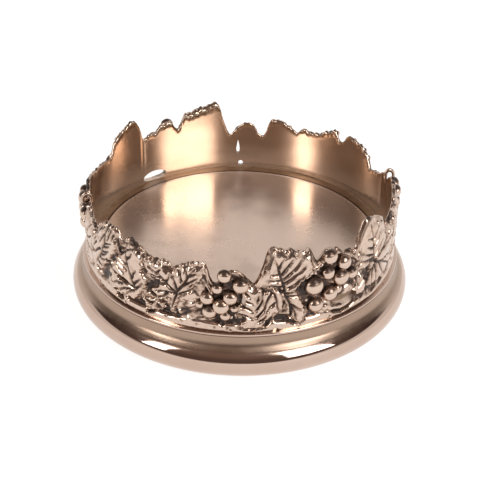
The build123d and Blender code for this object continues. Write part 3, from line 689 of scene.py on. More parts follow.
# Stalks and rolled edges that stand proud: half width, height, and points as (angle, height)
stalks = [
    (0.8, 1.5, [(157.9, 30.0), (157.2, 26.0), (156.4, 22.0)]),
    (0.7, 1.4, [(22.0, 36.4), (25.2, 38.0), (28.4, 40.6)]),
    (0.7, 1.3, [(34.8, 43.6), (38.0, 42.2), (41.6, 40.4), (44.0, 38.0)]),
    (0.9, 1.5, [(31.0, 22.2), (33.0, 20.9), (36.0, 20.1), (39.6, 20.1), (42.6, 21.2), (44.6, 22.6)]),
    (0.6, 1.2, [(99.0, 37.0), (100.4, 39.0), (101.2, 40.6)]),
    (0.6, 1.3, [(146.6, 26.2), (148.0, 26.4), (149.4, 25.6)]),
    (0.6, 1.3, [(169.0, 35.6), (170.4, 33.4), (170.6, 31.0)]),
]

# Deep beds that the grapes lie in, as outlines of (angle, height)
beds = [
    [(166.6, 26.0), (167.0, 30.6), (168.6, 34.0), (170.0, 36.4), (173.4, 36.8), (175.0, 38.4), (178.0, 38.4),
     (180.0, 35.0), (180.8, 32.8), (180.4, 29.0), (179.6, 25.0), (178.8, 21.6), (176.6, 20.6),
     (173.6, 20.9), (170.4, 22.2), (168.4, 23.0)],
    [(20.4, 30.0), (21.4, 34.6), (24.4, 37.0), (28.0, 38.2), (29.6, 40.8), (34.4, 40.4), (36.4, 41.0),
     (41.2, 39.4), (43.4, 36.6), (42.4, 33.0), (44.2, 30.4), (42.6, 28.2), (37.0, 27.6), (34.4, 25.6),
     (29.6, 25.8), (29.2, 21.8), (25.6, 21.2), (23.4, 25.0), (22.0, 27.6)],
    [(88.4, 29.0), (89.4, 33.0), (88.8, 36.0), (89.4, 40.0), (91.0, 43.0), (98.6, 44.8), (101.6, 42.6),
     (103.0, 38.0), (102.6, 33.0), (101.6, 29.0), (97.6, 26.6), (92.4, 27.4)],
]

# How far the edge curls outwards: angle, distance in mm
lip_curl = [
    (5.0, 0.0), (9.4, 0.0), (11.0, 1.0), (20.0, 1.0), (23.4, 0.6), (25.0, 0.0), (48.0, 0.0), (50.0, 0.3),
    (54.0, 0.2), (57.0, 0.0), (137.0, 0.0), (139.4, 0.6), (143.6, 0.5), (152.0, 0.4), (155.0, 0.0),
    (163.0, 0.3), (167.0, 0.3), (169.0, 0.0), (185.0, 0.0),
]

# How far below the crest the wall starts to thin: angle, reach in mm
lip_reach = [
    (5.0, 0.9), (8.8, 1.0), (9.6, 2.2), (16.0, 2.1), (20.5, 1.9), (24.6, 1.3), (26.0, 0.9), (46.0, 0.9),
    (48.5, 1.3), (52.0, 1.2), (56.0, 0.9), (118.0, 1.0), (132.0, 1.2), (137.4, 1.7), (144.6, 1.6),
    (154.0, 1.5), (156.0, 0.9), (160.0, 1.2), (168.0, 1.2), (170.0, 0.9), (185.0, 0.9),
]

# Where the inner face is flatter than its circle: middle and half width in degrees, depth in mm
inner_flats = [(25.0, 21.0, 0.8)]

# Creases in the inner face: middle and half width in degrees, depth in mm
creases = [(45.0, 1.1, 0.22), (105.0, 1.6, 0.12)]

# Cuts down to the background: half width, and points as (angle, height)
hollows = [
    (1.5, [(13.4, 21.6), (15.2, 21.4)]), (0.8, [(9.0, 19.2), (10.8, 21.6)]),
    (0.5, [(16.6, 20.0), (18.0, 19.4), (19.4, 18.7)]), (0.5, [(17.7, 26.4), (18.0, 23.8), (17.7, 22.0)]),
    (1.2, [(130.1, 33.4), (129.6, 32.4)]), (1.1, [(127.0, 30.4), (126.4, 29.6)]),
    (0.8, [(114.6, 29.0), (115.6, 29.4)]), (0.9, [(119.0, 23.4), (120.2, 23.9)]),
    (0.8, [(148.8, 31.2), (149.6, 30.9)]), (0.4, [(147.2, 29.0), (146.6, 26.8)]),
    (0.8, [(134.0, 27.6), (137.8, 27.2)]), (0.5, [(147.0, 18.5), (149.4, 19.3)]),
    (0.4, [(145.4, 22.8), (147.2, 23.0)]), (0.8, [(171.6, 25.8), (174.4, 19.8)]),
    (1.2, [(180.4, 22.0), (181.2, 22.0)]), (0.9, [(178.4, 21.2), (179.6, 20.4)]),
    (0.7, [(180.2, 32.6), (180.4, 29.4)]), (0.6, [(34.0, 19.4), (37.6, 18.3), (41.6, 19.0), (44.4, 20.4)]),
    (0.6, [(46.4, 20.6), (49.0, 20.5), (52.6, 20.9), (57.6, 21.0)]), (0.4, [(145.0, 20.0), (138.6, 20.0)]),
    (0.8, [(132.6, 19.3), (135.0, 19.0)]), (0.6, [(55.2, 31.4), (56.2, 31.2)]),
    (0.5, [(158.2, 22.8), (158.8, 20.8)]), (0.6, [(134.6, 37.8), (135.6, 38.4)]),
    (0.45, [(43.0, 40.2), (42.4, 42.6)]), (0.5, [(46.2, 46.6), (44.9, 47.6)]),
    (0.45, [(44.4, 45.2), (45.6, 44.6)]), (0.45, [(5.3, 36.4), (5.7, 37.8)]),
    (0.5, [(6.4, 40.4), (7.4, 41.2)]), (0.45, [(8.4, 42.8), (8.9, 43.6)]),
    (0.4, [(8.2, 44.6), (8.3, 48.4)]),
]

# Casting pits in the plain band: angle, height and radius
pits = [
    (12.8, 16.9, 0.55), (21.0, 17.9, 0.35), (64.0, 17.6, 0.4), (78.0, 18.2, 0.4), (104.0, 17.8, 0.45),
    (120.6, 18.0, 0.5), (123.4, 17.4, 0.35), (136.6, 17.8, 0.35), (154.4, 19.2, 0.45), (160.4, 18.9, 0.4),
    (165.6, 18.6, 0.45), (171.8, 18.2, 0.4), (176.2, 18.2, 0.55), (177.2, 17.4, 0.4), (180.4, 19.0, 0.3),
    (184.2, 18.2, 0.5), (186.0, 19.2, 0.35), (47.0, 18.8, 0.35), (33.0, 17.8, 0.4),
]


def nearest_on_line(across, height, line, closed=False):
    """Distance from each point to a line, how far along it the nearest place is, and its length."""
    corners = [(math.radians(angle) * drawing_radius, level) for angle, level in line]
    if closed:
        corners.append(corners[0])
    distance = np.full(across.shape, far_away)
    along = np.zeros(across.shape)
    run = 0.0
    for (x0, z0), (x1, z1) in zip(corners, corners[1:]):
        length = math.hypot(x1 - x0, z1 - z0)
        share = np.clip(((across - x0) * (x1 - x0) + (height - z0) * (z1 - z0)) / length ** 2, 0, 1)
        reach = np.hypot(across - x0 - share * (x1 - x0), height - z0 - share * (z1 - z0))
        along = np.where(reach < distance, run + share * length, along)
        distance = np.minimum(distance, reach)
        run += length
    return distance, along, run


def inside_outline(across, height, line):
    """True where a point lies inside a closed outline."""
    corners = [(math.radians(angle) * drawing_radius, level) for angle, level in line]
    inside = np.zeros(across.shape, bool)
    for (x0, z0), (x1, z1) in zip(corners, corners[1:] + corners[:1]):
        if z0 != z1:
            crossing_place = (x1 - x0) * (height - z0) / (z1 - z0) + x0
            inside ^= ((z0 > height) != (z1 > height)) & (across < crossing_place)
    return inside


def depth_inside(across, height, outline):
    """Distance to a closed outline, positive inside it, how far along it, and the outline's length."""
    edge, along, length = nearest_on_line(across, height, outline, closed=True)
    return np.where(inside_outline(across, height, outline), edge, -edge), along, length


def blurred(field, reach):
    """A field smoothed by a bell curve, reach in grid steps."""
    half = int(3 * reach)
    bell = np.exp(-0.5 * (np.arange(-half, half + 1) / reach) ** 2)
    bell /= bell.sum()
    for axis in (0, 1):
        padding = [(half, half) if axis == side else (0, 0) for side in (0, 1)]
        padded = np.pad(field, padding, mode="edge")
        field = np.apply_along_axis(np.convolve, axis, padded, bell, mode="valid")
    return field


def cloudy_noise(chance, shape, reach):
    """Blurred noise with a spread of 1, reach in grid steps."""
    field = blurred(chance.normal(0, 1, shape), reach)
    return field / field.std()


def eased(share):
    """0 to 1 with soft ends."""
    share = np.clip(share, 0, 1)
    return share * share * (3 - 2 * share)


def soft_step(distance, reach):
    """0 to 1 over a soft edge as wide as reach, half way where the distance is 0."""
    return eased(distance / reach + 0.5)


def laid_over(ground, cover, amount):
    """A cover laid over the ground where amount is 1, and the ground left where it is 0."""
    return ground * (1 - amount) + cover * amount


def press_leaf(relief, darkening, across, height, level, outline, veins):
    """Lays one leaf over the relief: toothed edge, rolled rim, flat face with deep incised veins."""
    tooth_length, tooth_depth, fewest_teeth = 2.1, 0.32, 6
    edge_reach = 0.4
    moat_depth, moat_reach, moat_bottom, moat_stain = 0.9, 0.4, -0.25, 0.95
    rim_height, rim_place, rim_width, rim_in_notch = 0.22, 0.7, 0.4, 0.3
    swell, swell_reach = 0.36, 0.9
    edge_drop, drop_reach = 0.42, 1.4
    vein_width, vein_depth, vein_taper, vein_stain = 0.47, 0.95, 0.4, 1.2
    notch_stain, notch_reach = 0.3, 0.5
    inward, along, length = depth_inside(across, height, outline)
    teeth = max(fewest_teeth, round(length / tooth_length))
    wave = 0.5 + 0.5 * np.cos(along / length * teeth * 2 * math.pi)
    inward = inward - tooth_depth * (1 - wave) ** 2
    spacing = np.full(across.shape, far_away)
    groove = np.zeros(across.shape)
    for vein in veins:
        away, along_vein, vein_length = nearest_on_line(across, height, vein)
        taper = 1 - vein_taper * along_vein / vein_length
        spacing = np.minimum(spacing, away)
        groove = np.maximum(groove, taper * np.exp(-(away / (vein_width * taper)) ** 2))
    depth_in = np.maximum(inward, 0)
    rim_share = rim_in_notch + (1 - rim_in_notch) * wave
    face = level - edge_drop * np.exp(-depth_in / drop_reach)
    face = face + swell * (1 - np.exp(-spacing / swell_reach))
    face = face + rim_height * np.exp(-((inward - rim_place) / rim_width) ** 2) * rim_share
    face = face - vein_depth * groove
    cover = soft_step(inward, edge_reach)
    near = np.exp(-np.maximum(-inward, 0) / moat_reach)
    below = np.maximum(relief - moat_depth * near, moat_bottom)
    face_stain = vein_stain * groove + notch_stain * (1 - wave) ** 2 * np.exp(-depth_in / notch_reach)
    below_stain = np.maximum(darkening, moat_stain * near)
    return laid_over(below, face, cover), laid_over(below_stain, face_stain, cover)


def crest_at(angle):
    """Height of the crest above the drawing base, with a fine ragged edge that is calm at the seams."""
    # Depth in mm, waves in a full turn, and start in radians, of each ripple
    ripples = [(0.16, 71, 0.0), (0.12, 163, 1.1)]
    calm_end = 2.0
    places, heights = zip(*crest_line)
    crest = np.interp(angle, places, heights)
    ragged = sum(depth * np.sin(np.radians(angle) * waves + start) for depth, waves, start in ripples)
    ends = np.clip(np.minimum(angle - first_seam, last_seam - angle) / calm_end, 0, 1)
    return np.minimum(crest + ragged * ends, crest_limit - drawing_base)


def model_relief(angle, height):
    """Height of the relief over the background, and its antique patina, for a grid of angles and heights."""
    # Each name with wander, grain or drift says how much of that noise a height in mm or a stain gets
    seed, grain_reach, wander_reach, drift_reach = 11, 1.2, 3.5, 14
    band_drift = 0.4
    ground_wander, ground_grain = 0.28, 0.06
    ground_stain, stain_wander, stain_grain, least_stain = 0.42, 0.3, 0.12, 0.05
    bed_edge, bed_level, bed_wander, bed_grain = 0.7, 0.1, 0.16, 0.12
    bed_stain, bed_stain_wander, bed_stain_grain = 0.85, 0.14, 0.1
    stalk_roundness, stalk_moat, stalk_moat_reach, stalk_stain = 1.5, 0.4, 0.4, 0.8
    hollow_edge, hollow_level, hollow_stain = 0.6, -0.05, 1.1
    pit_depth, pit_stain = 0.35, 0.6
    last_stain_grain, last_stain_wander, last_stain = 0.05, 0.07, 0.07
    last_wander, last_grain = 0.07, 0.03
    relief_blur, stain_blur = 0.6, 0.5
    across = np.radians(angle) * drawing_radius
    chance = np.random.default_rng(seed)
    grain = cloudy_noise(chance, angle.shape, grain_reach)
    wander = cloudy_noise(chance, angle.shape, wander_reach)
    drift = cloudy_noise(chance, angle.shape, drift_reach)
    band = soft_step(band_top + band_drift * drift - height, band_blend)
    relief = laid_over(background_height + ground_wander * wander + ground_grain * grain, band_height, band)
    darkening = np.clip(ground_stain - stain_wander * wander + stain_grain * grain, least_stain, 1) * (1 - band)
    for outline in beds:
        cover = soft_step(depth_inside(across, height, outline)[0], bed_edge)
        relief = laid_over(relief, bed_level + bed_wander * wander + bed_grain * grain, cover)
        darkening = laid_over(darkening, bed_stain - bed_stain_wander * wander - bed_stain_grain * grain, cover)
    for half_width, rise, line in stalks:
        away = nearest_on_line(across, height, line)[0]
        near = np.exp(-np.maximum(away - half_width, 0) / stalk_moat_reach)
        bar = rise * np.sqrt(np.clip(1 - (away / (half_width * stalk_roundness)) ** 2, 0, 1))
        relief = np.maximum(relief - stalk_moat * near, bar)
        darkening = np.where(away < half_width, 0, np.maximum(darkening, stalk_stain * near))
    for level, outline, veins in leaves:
        relief, darkening = press_leaf(relief, darkening, across, height, level, outline, veins)
    for half_width, line in hollows:
        away = nearest_on_line(across, height, line)[0]
        cut = soft_step(half_width - away, hollow_edge)
        relief = laid_over(relief, np.minimum(relief, hollow_level), cut)
        darkening = np.maximum(darkening, hollow_stain * cut)
    for place, level, radius in pits:
        away = np.hypot(across - math.radians(place) * drawing_radius, height - level)
        relief = relief - pit_depth * np.exp(-(away / radius) ** 2)
        darkening = np.maximum(darkening, pit_stain * np.exp(-(away / radius) ** 2))
    darkening = darkening + (last_stain_grain * grain - last_stain_wander * wander) * (1 - band) + last_stain
    relief = relief + (last_wander * wander + last_grain * grain) * (1 - band)
    return blurred(relief, relief_blur), blurred(darkening, stain_blur), wander


def set_beads(outer, darkening, angle, height):
    """Adds the small buffed beads on leaf tips and edges, which stand even where the wall thins."""
    sunk, roundness = 0.35, 1.15
    ground_reach = 1.5
    ring_reach, ring_depth, ring_limit, ring_stain = 0.3, 0.15, 0.1, 0.5
    buffed = 0.9
    least_wall = 0.7
    across = np.radians(angle) * drawing_radius
    for place, level, radius in beads:
        away = np.hypot(across - math.radians(place) * drawing_radius, height - level)
        near_it = away < ground_reach * radius
        ground = np.median(outer[near_it]) if near_it.any() else gallery_inner_radius
        dome = np.sqrt(np.clip(1 - (away / radius) ** 2, 0, 1))
        bead = ground - sunk * radius + roundness * radius * dome
        ring = np.exp(-np.maximum(away - radius, 0) / ring_reach)
        moat = ring_depth * ring * (ring > ring_limit)
        outer = np.where(away < radius, np.maximum(outer, bead), outer - moat)
        darkening = np.where(away < buffed * radius, 0.0, np.maximum(darkening, ring_stain * ring))
    return np.maximum(outer, gallery_inner_radius + least_wall), darkening


def sample_grid(field, column, row):
    """Value of a grid field at fractional columns and rows."""
    # Keeps a point on the far border just inside the last cell
    border = 1.001
    column = np.clip(column, 0, field.shape[0] - border)
    row = np.clip(row, 0, field.shape[1] - border)
    c, r = column.astype(int), row.astype(int)
    u, v = column - c, row - r
    return ((field[c, r] * (1 - u) + field[c + 1, r] * u) * (1 - v)
            + (field[c, r + 1] * (1 - u) + field[c + 1, r + 1] * u) * v)


def casting_section():
    """Rows of every section: outer face from foot to crest, rounded lip, inner face down to the foot."""
    relief_at_edge, relief_reach = 0.3, 3.4
    lip_edge = 0.35
    # The lip gets patina, and painted shade where it curls outwards and its top faces up
    lip_stain, curl_shade, full_curl, lip_wander = 0.36, 0.3, 0.5, 0.24
    least_lip_darkening, most_lip_darkening = 0.05, 0.9
    least_wall = 0.75
    curl_drop = 0.9
    crease_start, crease_run = 24.0, 6.0
    angle = np.linspace(first_seam, last_seam, columns + 1)
    crest = crest_at(angle)
    foot = shelf_height - drawing_base
    share = np.linspace(0, 1, outer_rows + 1)
    grid_angle = np.repeat(angle[:, None], outer_rows + 1, axis=1)
    top = crest - crest_round
    grid_height = foot + share[None, :] * (top - foot)[:, None]
    relief, darkening, wander = model_relief(grid_angle, grid_height)
    places, reaches = zip(*lip_reach)
    reach = np.interp(angle, places, reaches)[:, None]
    edge_line = [(place, level - crest_round) for place, level in crest_line]
    to_edge = nearest_on_line(np.radians(grid_angle) * drawing_radius, grid_height, edge_line)[0]
    curl_places, curls = zip(*lip_curl)
    curl = np.interp(angle, curl_places, curls)[:, None]
    edge_radius = gallery_inner_radius + lip_wall + curl
    relief_share = relief_at_edge + (1 - relief_at_edge) * eased(to_edge / relief_reach)
    outer = edge_radius + (background_radius + relief - edge_radius) * relief_share
    chamfer = edge_radius + to_edge * lip_rise / reach
    # Patina over the lip, darker where it curls: painted shade on its upturned top
    lip_patina_and_shade = lip_stain + curl_shade * np.clip(curl / full_curl, 0, 1) + lip_wander * wander
    darkening = laid_over(darkening, np.clip(lip_patina_and_shade, least_lip_darkening, most_lip_darkening),
                      soft_step(reach - to_edge, lip_edge))
    outer = np.maximum(np.minimum(outer, chamfer), gallery_inner_radius + least_wall)
    outer, darkening = set_beads(outer, darkening, grid_angle, grid_height)
    inner = gallery_inner_radius - sum(
        depth * np.cos(np.clip((angle - place) / half_width, -1, 1) * math.pi / 2) ** 2
        for place, half_width, depth in inner_flats)
    radii, heights = [outer], [grid_height]
    for step in range(1, lip_rows + 1):
        turn = math.pi * step / (lip_rows + 1)
        across_lip = (1 - math.cos(turn)) / 2
        drop = curl[:, 0] * curl_drop * across_lip ** 2
        radii.append((outer[:, -1] + (inner - outer[:, -1]) * across_lip)[:, None])
        heights.append((top + crest_round * math.sin(turn) - drop)[:, None])
    crease = sum(depth * np.exp(-((angle - place) / half_width) ** 2) for place, half_width, depth in creases)
    inner_share = np.linspace(1, 0, inner_rows + 1)
    inner_height = foot + inner_share[None, :] * (top - curl_drop * curl[:, 0] - foot)[:, None]
    radii.append(inner[:, None] + crease[:, None] * eased((inner_height - crease_start) / crease_run))
    heights.append(inner_height)
    return angle, np.hstack(radii), np.hstack(heights), darkening


def make_casting(name, bunches, outside, inside):
    """A half of the gallery: wall and leaves from a grid, grapes and stalk loop joined, holes cut."""
    merge_within, smooth_angle = 0.001, 60.0
    angle, radius, height, darkening = casting_section()
    section_count = radius.shape[1]
    clear_selection()
    bpy.ops.mesh.primitive_grid_add(x_subdivisions=columns, y_subdivisions=section_count, size=1.0)
    wall = bpy.context.object
    wall.name = wall.data.name = name
    mesh = wall.data
    flat = np.empty(len(mesh.vertices) * 3)
    mesh.vertices.foreach_get("co", flat)
    flat = flat.reshape(-1, 3)
    column = np.rint((flat[:, 0] + 0.5) * columns).astype(int)
    row = np.rint((flat[:, 1] + 0.5) * section_count).astype(int) % section_count
    turn = np.radians(angle[column])
    placed_radius = radius[column, row] * MM
    placed = np.stack([placed_radius * np.sin(turn), -placed_radius * np.cos(turn),
                       (height[column, row] + drawing_base) * MM], axis=1)
    mesh.vertices.foreach_set("co", placed.ravel())
    mesh.update()
    only(wall)
    bpy.ops.object.mode_set(mode="EDIT")
    bpy.ops.mesh.select_all(action="SELECT")
    bpy.ops.mesh.remove_doubles(threshold=merge_within * MM)
    bpy.ops.mesh.select_all(action="DESELECT")
    bpy.ops.mesh.select_mode(type="EDGE")
    bpy.ops.mesh.select_non_manifold(extend=False)
    bpy.ops.mesh.fill_holes(sides=0)
    bpy.ops.mesh.select_all(action="SELECT")
    bpy.ops.mesh.normals_make_consistent(inside=False)
    bpy.ops.mesh.select_mode(type="VERT")
    bpy.ops.object.mode_set(mode="OBJECT")
    for piece in [make_grapes(bunches), make_loop()]:
        combine(wall, piece, "UNION")
    combine(wall, make_cutter(), "DIFFERENCE")
    darken_casting(wall, darkening, bunches)
    only(wall)
    bpy.ops.object.shade_smooth_by_angle(angle=math.radians(smooth_angle))
    mesh = wall.data
    mesh.materials.clear()
    mesh.materials.append(outside)
    mesh.materials.append(inside)
    for face in mesh.polygons:
        face.material_index = int(faces_inside(face))
    return wall


def faces_inside(face):
    """True for a face of the smooth inner wall."""
    margin, least_facing = 0.3, 0.6
    middle = face.center
    out = math.hypot(middle.x, middle.y)
    facing_in = -(face.normal.x * middle.x + face.normal.y * middle.y) / out
    return out < (gallery_inner_radius + margin) * MM and facing_in > least_facing


def combine(wall, piece, operation):
    """Joins a piece to the wall, or cuts it out, and removes the piece."""
    only(wall)
    step = wall.modifiers.new("combine", "BOOLEAN")
    step.operation = operation
    step.solver = "MANIFOLD"
    step.object = piece
    bpy.ops.object.modifier_apply(modifier=step.name)
    bpy.data.objects.remove(piece)


def joined(pieces):
    """All the pieces as one closed mesh, which is the first of them."""
    first = pieces[0]
    for piece in pieces[1:]:
        combine(first, piece, "UNION")
    return first


def on_gallery(radius, angle, height):
    """A point, in metres, at a radius, an angle and a height above the drawing base."""
    turn = math.radians(angle)
    return Vector((radius * math.sin(turn), -radius * math.cos(turn), height + drawing_base)) * MM


def make_grapes(bunches):
    """All grapes of a half in one mesh: balls pressed flat, and cut off inside the wall."""
    wall_left = 0.35
    balls = []
    for place, level, radius in bunches:
        clear_selection()
        bpy.ops.mesh.primitive_uv_sphere_add(segments=28, ring_count=18, radius=radius * MM,
                                             location=on_gallery(grape_radius, place, level))
        ball = bpy.context.object
        ball.rotation_euler = (0, 0, math.radians(place))
        ball.scale = (1.0, grape_flatness, 1.0)
        bpy.ops.object.transform_apply(location=True, rotation=True, scale=True)
        balls.append(ball)
    bunch = joined(balls)
    clear_selection()
    bpy.ops.mesh.primitive_cylinder_add(vertices=360, radius=(gallery_inner_radius + wall_left) * MM,
                                        depth=4 * crest_limit * MM)
    combine(bunch, bpy.context.object, "DIFFERENCE")
    return bunch


def make_loop():
    """The bent stalk that stands on the crest: a wire ring, taller than wide, turned into the wall."""
    loop_angle, loop_height, loop_radius, wire_radius = 101.3, 42.2, 1.75, 0.62
    sunk, tallness = 0.9, 1.4
    clear_selection()
    bpy.ops.mesh.primitive_torus_add(major_segments=28, minor_segments=12, major_radius=loop_radius * MM,
                                     minor_radius=wire_radius * MM)
    ring = bpy.context.object
    turn = math.radians(loop_angle)
    sideways = Vector((math.cos(turn), math.sin(turn), 0))
    ring.rotation_mode = "QUATERNION"
    ring.rotation_quaternion = sideways.to_track_quat("Z", "Y")
    ring.scale = (1.0, tallness, 1.0)
    ring.location = on_gallery(drawing_radius - sunk, loop_angle, loop_height)
    bpy.ops.object.transform_apply(location=True, rotation=True, scale=True)
    return ring


def make_cutter():
    """Oval hole, slit and round hole, as blocks that pass through the wall."""
    # Angle, height, width, length up the wall, and how much narrower the block is at its upper end
    shapes = [(39.6, 22.9, 12.4, 4.3, 0.15), (181.6, 30.3, 2.1, 6.4, 0.8), (180.4, 22.6, 2.4, 2.4, 0.2)]
    depth, sunk = 10.0, 1.5
    blocks = []
    for place, level, width, tall, taper in shapes:
        clear_selection()
        bpy.ops.mesh.primitive_cylinder_add(vertices=40, radius=0.5, depth=1.0)
        block = bpy.context.object
        for vertex in block.data.vertices:
            vertex.co.x *= 1 - taper * (vertex.co.y + 0.5)
        outwards = on_gallery(1.0, place, 0) - on_gallery(0.0, place, 0)
        block.rotation_mode = "QUATERNION"
        block.rotation_quaternion = outwards.to_track_quat("Z", "Y")
        block.scale = (width * MM, tall * MM, depth * MM)
        block.location = on_gallery(drawing_radius - sunk, place, level)
        bpy.ops.object.transform_apply(location=True, rotation=True, scale=True)
        blocks.append(block)
    return joined(blocks)


def darken_casting(wall, darkening, bunches):
    """Writes how dark each point is: all the antique patina in hollows, little on what buffing reaches, with
    painted shade on the grapes' tops and the curled lip.
    """
    seam_margin = 1
    over_crest, crest_stain = 0.6, 0.25
    ball_skin, ball_inset, ball_start = 0.05, 0.1, 0.2
    contact_start, contact_run = 0.35, 0.9
    # Patina where a grape meets the ground; with it painted shade, more up the upper side and less down the
    # lower, and a dark top
    side_stain, upward_shade = 0.55, 0.3
    shade_cap_slope, shade_cap_start = 3.2, 1.15
    cap_shade, cap_shade_spread, cap_shade_variety = 0.7, 0.16, 2.4
    inner_margin, inner_stain = 0.4, 0.2
    mesh = wall.data
    flat = np.empty(len(mesh.vertices) * 3)
    mesh.vertices.foreach_get("co", flat)
    flat = flat.reshape(-1, 3) / MM
    out = np.hypot(flat[:, 0], flat[:, 1])
    turn = np.degrees(np.arctan2(flat[:, 0], -flat[:, 1]))
    turn = np.where(turn < first_seam - seam_margin, turn + 360, turn)
    level = flat[:, 2] - drawing_base
    column = (turn - first_seam) / (last_seam - first_seam) * columns
    foot = shelf_height - drawing_base
    top = crest_at(turn) - crest_round
    row = (level - foot) / (top - foot) * outer_rows
    point_darkening = sample_grid(darkening, column, row)
    point_darkening = np.where(level > top + over_crest, crest_stain, point_darkening)
    for place, height, radius in bunches:
        centre = on_gallery(grape_radius, place, height) / MM
        away = np.linalg.norm(flat - np.array(centre), axis=1)
        on_ball = (away < radius + ball_skin) & (away > radius * grape_flatness - ball_inset)
        on_ball &= out > background_radius + ball_start
        contact = 1 - eased((out - background_radius - contact_start) / contact_run)
        # Painted shade on each grape: its upper half and top darker, its lower half lighter
        upwards = (flat[:, 2] - centre[2]) / radius
        shaded_cap = eased(shade_cap_slope * upwards - shade_cap_start)
        cap_shade_amount = cap_shade + cap_shade_spread * math.cos(cap_shade_variety * place)
        grape_patina_and_shade = np.maximum((side_stain + upward_shade * upwards) * contact, cap_shade_amount * shaded_cap)
        point_darkening = np.where(on_ball, grape_patina_and_shade, point_darkening)
    point_darkening = np.where(out < gallery_inner_radius + inner_margin, inner_stain, point_darkening)
    attribute = mesh.attributes.new("antiquing_and_shade", "FLOAT", "POINT")
    attribute.data.foreach_set("value", np.clip(point_darkening, 0, 1).astype(np.float32))


def turned_half_round(piece):
    """Turns a casting half round the axis, in its mesh."""
    only(piece)
    piece.rotation_euler = (0, 0, math.pi)
    bpy.ops.object.transform_apply(location=True, rotation=True, scale=True)
    return piece


def make_camera():
    """The photograph's camera: level with the axis, looking down, with a degree of roll."""
    look_down, roll = math.radians(31.26), math.radians(0.997)
    data = bpy.data.cameras.new("camera")
    data.sensor_width = 36.0
    data.lens = 93.5
    data.clip_start, data.clip_end = 0.02, 20.0
    camera = bpy.data.objects.new("camera", data)
    bpy.context.scene.collection.objects.link(camera)
    camera.location = (-0.06 * MM, -422.8 * MM, 277.0 * MM)
    camera.rotation_mode = "QUATERNION"
    camera.rotation_quaternion = (Quaternion((1, 0, 0), math.pi / 2 - look_down)
                                  @ Quaternion((0, 0, 1), roll))
    bpy.context.scene.camera = camera


def make_table():
    """A plain pale table that runs to the horizon."""
    clear_selection()
    bpy.ops.mesh.primitive_plane_add(size=8.0, location=(0, 0, 0))
    table = bpy.context.object
    table.name = "table"
    material, tree, output = new_material("white_laminate_table")
    board = add_node(tree, "ShaderNodeBsdfPrincipled", {"Base Color": linear("#9C9B99"), "Roughness": 0.8,
                     "Emission Color": linear("#FFFFFF"), "Emission Strength": 0.84})
    tree.links.new(board.outputs["BSDF"], output.inputs["Surface"])
    table.data.materials.append(material)


def make_softbox(name, azimuth, distance, bottom, top, width, radiance):
    """An upright softbox turned to the object; azimuth is measured from the camera's side."""
    data = bpy.data.lights.new(name, "AREA")
    data.shape = "RECTANGLE"
    tall = top - bottom
    data.size, data.size_y = width, tall
    data.energy = radiance * math.pi * width * tall
    box = bpy.data.objects.new(name, data)
    bpy.context.scene.collection.objects.link(box)
    around = math.radians(azimuth)
    away = Vector((math.sin(around), -math.cos(around), 0))
    box.location = away * distance + Vector((0, 0, (bottom + top) / 2))
    box.rotation_mode = "QUATERNION"
    box.rotation_quaternion = away.to_track_quat("Z", "Y")


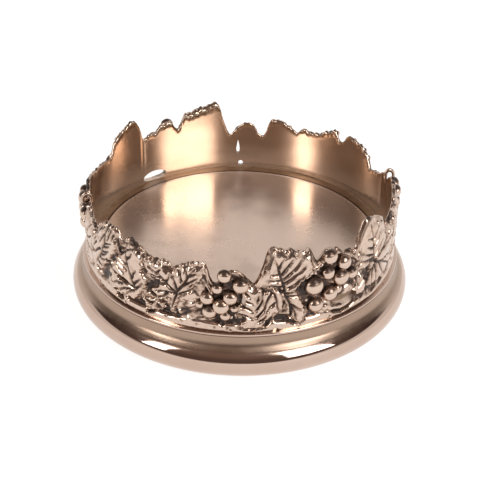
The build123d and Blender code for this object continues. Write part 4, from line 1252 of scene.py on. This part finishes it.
def make_room():
    """A pale backdrop behind the table, low pale walls at the sides, and a dim room round the camera."""
    wall_slope = -0.24
    world = bpy.data.worlds.new("studio")
    bpy.context.scene.world = world
    world.use_nodes = True
    tree = world.node_tree
    tree.nodes.clear()
    output = add_node(tree, "ShaderNodeOutputWorld")
    direction = add_node(tree, "ShaderNodeTexCoord").outputs["Generated"]
    parts = add_node(tree, "ShaderNodeSeparateXYZ", links={"Vector": direction})
    dim = add_node(tree, "ShaderNodeValToRGB", links={"Fac": parts.outputs["Z"]},
                   stops=[(0.0, "#695852"), (0.35, "#695852"), (0.55, "#7E6B62"), (0.8, "#938075")])
    sides = add_node(tree, "ShaderNodeMapRange", {"From Min": -0.58, "From Max": 0.15, "To Max": 0.6},
                     {"Value": parts.outputs["Y"]}, interpolation_type="SMOOTHSTEP")
    shaded = add_node(tree, "ShaderNodeMix", {7: linear("#2E2626")},
                      {0: sides.outputs["Result"], 6: dim.outputs["Color"]}, data_type="RGBA")
    slope = add_node(tree, "ShaderNodeMath", {1: wall_slope}, operation="MULTIPLY_ADD",
                     links={0: parts.outputs["Y"], 2: parts.outputs["Z"]})
    low_wall = add_node(tree, "ShaderNodeMapRange", {"From Min": 0.27, "From Max": 0.2},
                        {"Value": slope.outputs["Value"]}, interpolation_type="SMOOTHSTEP")
    backdrop = add_node(tree, "ShaderNodeMapRange", {"From Min": 0.24, "From Max": 0.5},
                        {"Value": parts.outputs["Y"]}, interpolation_type="SMOOTHSTEP")
    under_ceiling = add_node(tree, "ShaderNodeMapRange", {"From Min": 0.84, "From Max": 0.7},
                             {"Value": parts.outputs["Z"]}, interpolation_type="SMOOTHSTEP")
    behind = add_node(tree, "ShaderNodeMath", operation="MULTIPLY",
                      links={0: backdrop.outputs["Result"], 1: under_ceiling.outputs["Result"]})
    pale = add_node(tree, "ShaderNodeMath", operation="MAXIMUM",
                    links={0: low_wall.outputs["Result"], 1: behind.outputs["Value"]})
    tone = add_node(tree, "ShaderNodeMix", {7: linear("#FBF9F7")},
                    {0: pale.outputs["Value"], 6: shaded.outputs[2]}, data_type="RGBA")
    room = add_node(tree, "ShaderNodeBackground", {"Strength": 1.0}, {"Color": tone.outputs[2]})
    tree.links.new(room.outputs["Background"], output.inputs["Surface"])


make_camera()
make_table()
make_room()
make_softbox("softbox_right", azimuth=46.0, distance=0.8, bottom=0.27, top=1.2, width=0.44, radiance=6.8)
make_softbox("softbox_left", azimuth=-53.5, distance=0.8, bottom=0.24, top=0.84, width=0.22, radiance=8.0)

felt = make_baize(green_baize())
pieces = [
    (make_base(polished_nickel_spinning()), "base_roll", "plated_spinning"),
    (make_floor(satin_nickel_floor()), "floor_plate", "plated_floor"),
    (make_solder(soft_solder()), "solder_fillet", "solder"),
    (make_backing(rolled_tinplate()), "backing_disc", "tinplate"),
    (felt, "baize_pad", "baize"),
]
cast_finish = (antiqued_nickel_casting(), satin_nickel_wall())
right_half = make_casting("vine_gallery_right", grapes + rear_crest_grapes, *cast_finish)
left_half = make_casting("vine_gallery_left", grapes + front_crest_grapes, *cast_finish)
pieces += [
    (right_half, "gallery_right", "plated_casting"),
    (turned_half_round(left_half), "gallery_left", "plated_casting"),
]
for piece, node, slot in pieces:
    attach(piece, "root")
    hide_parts(node)

bpy.context.scene.view_settings.view_transform = "Standard"
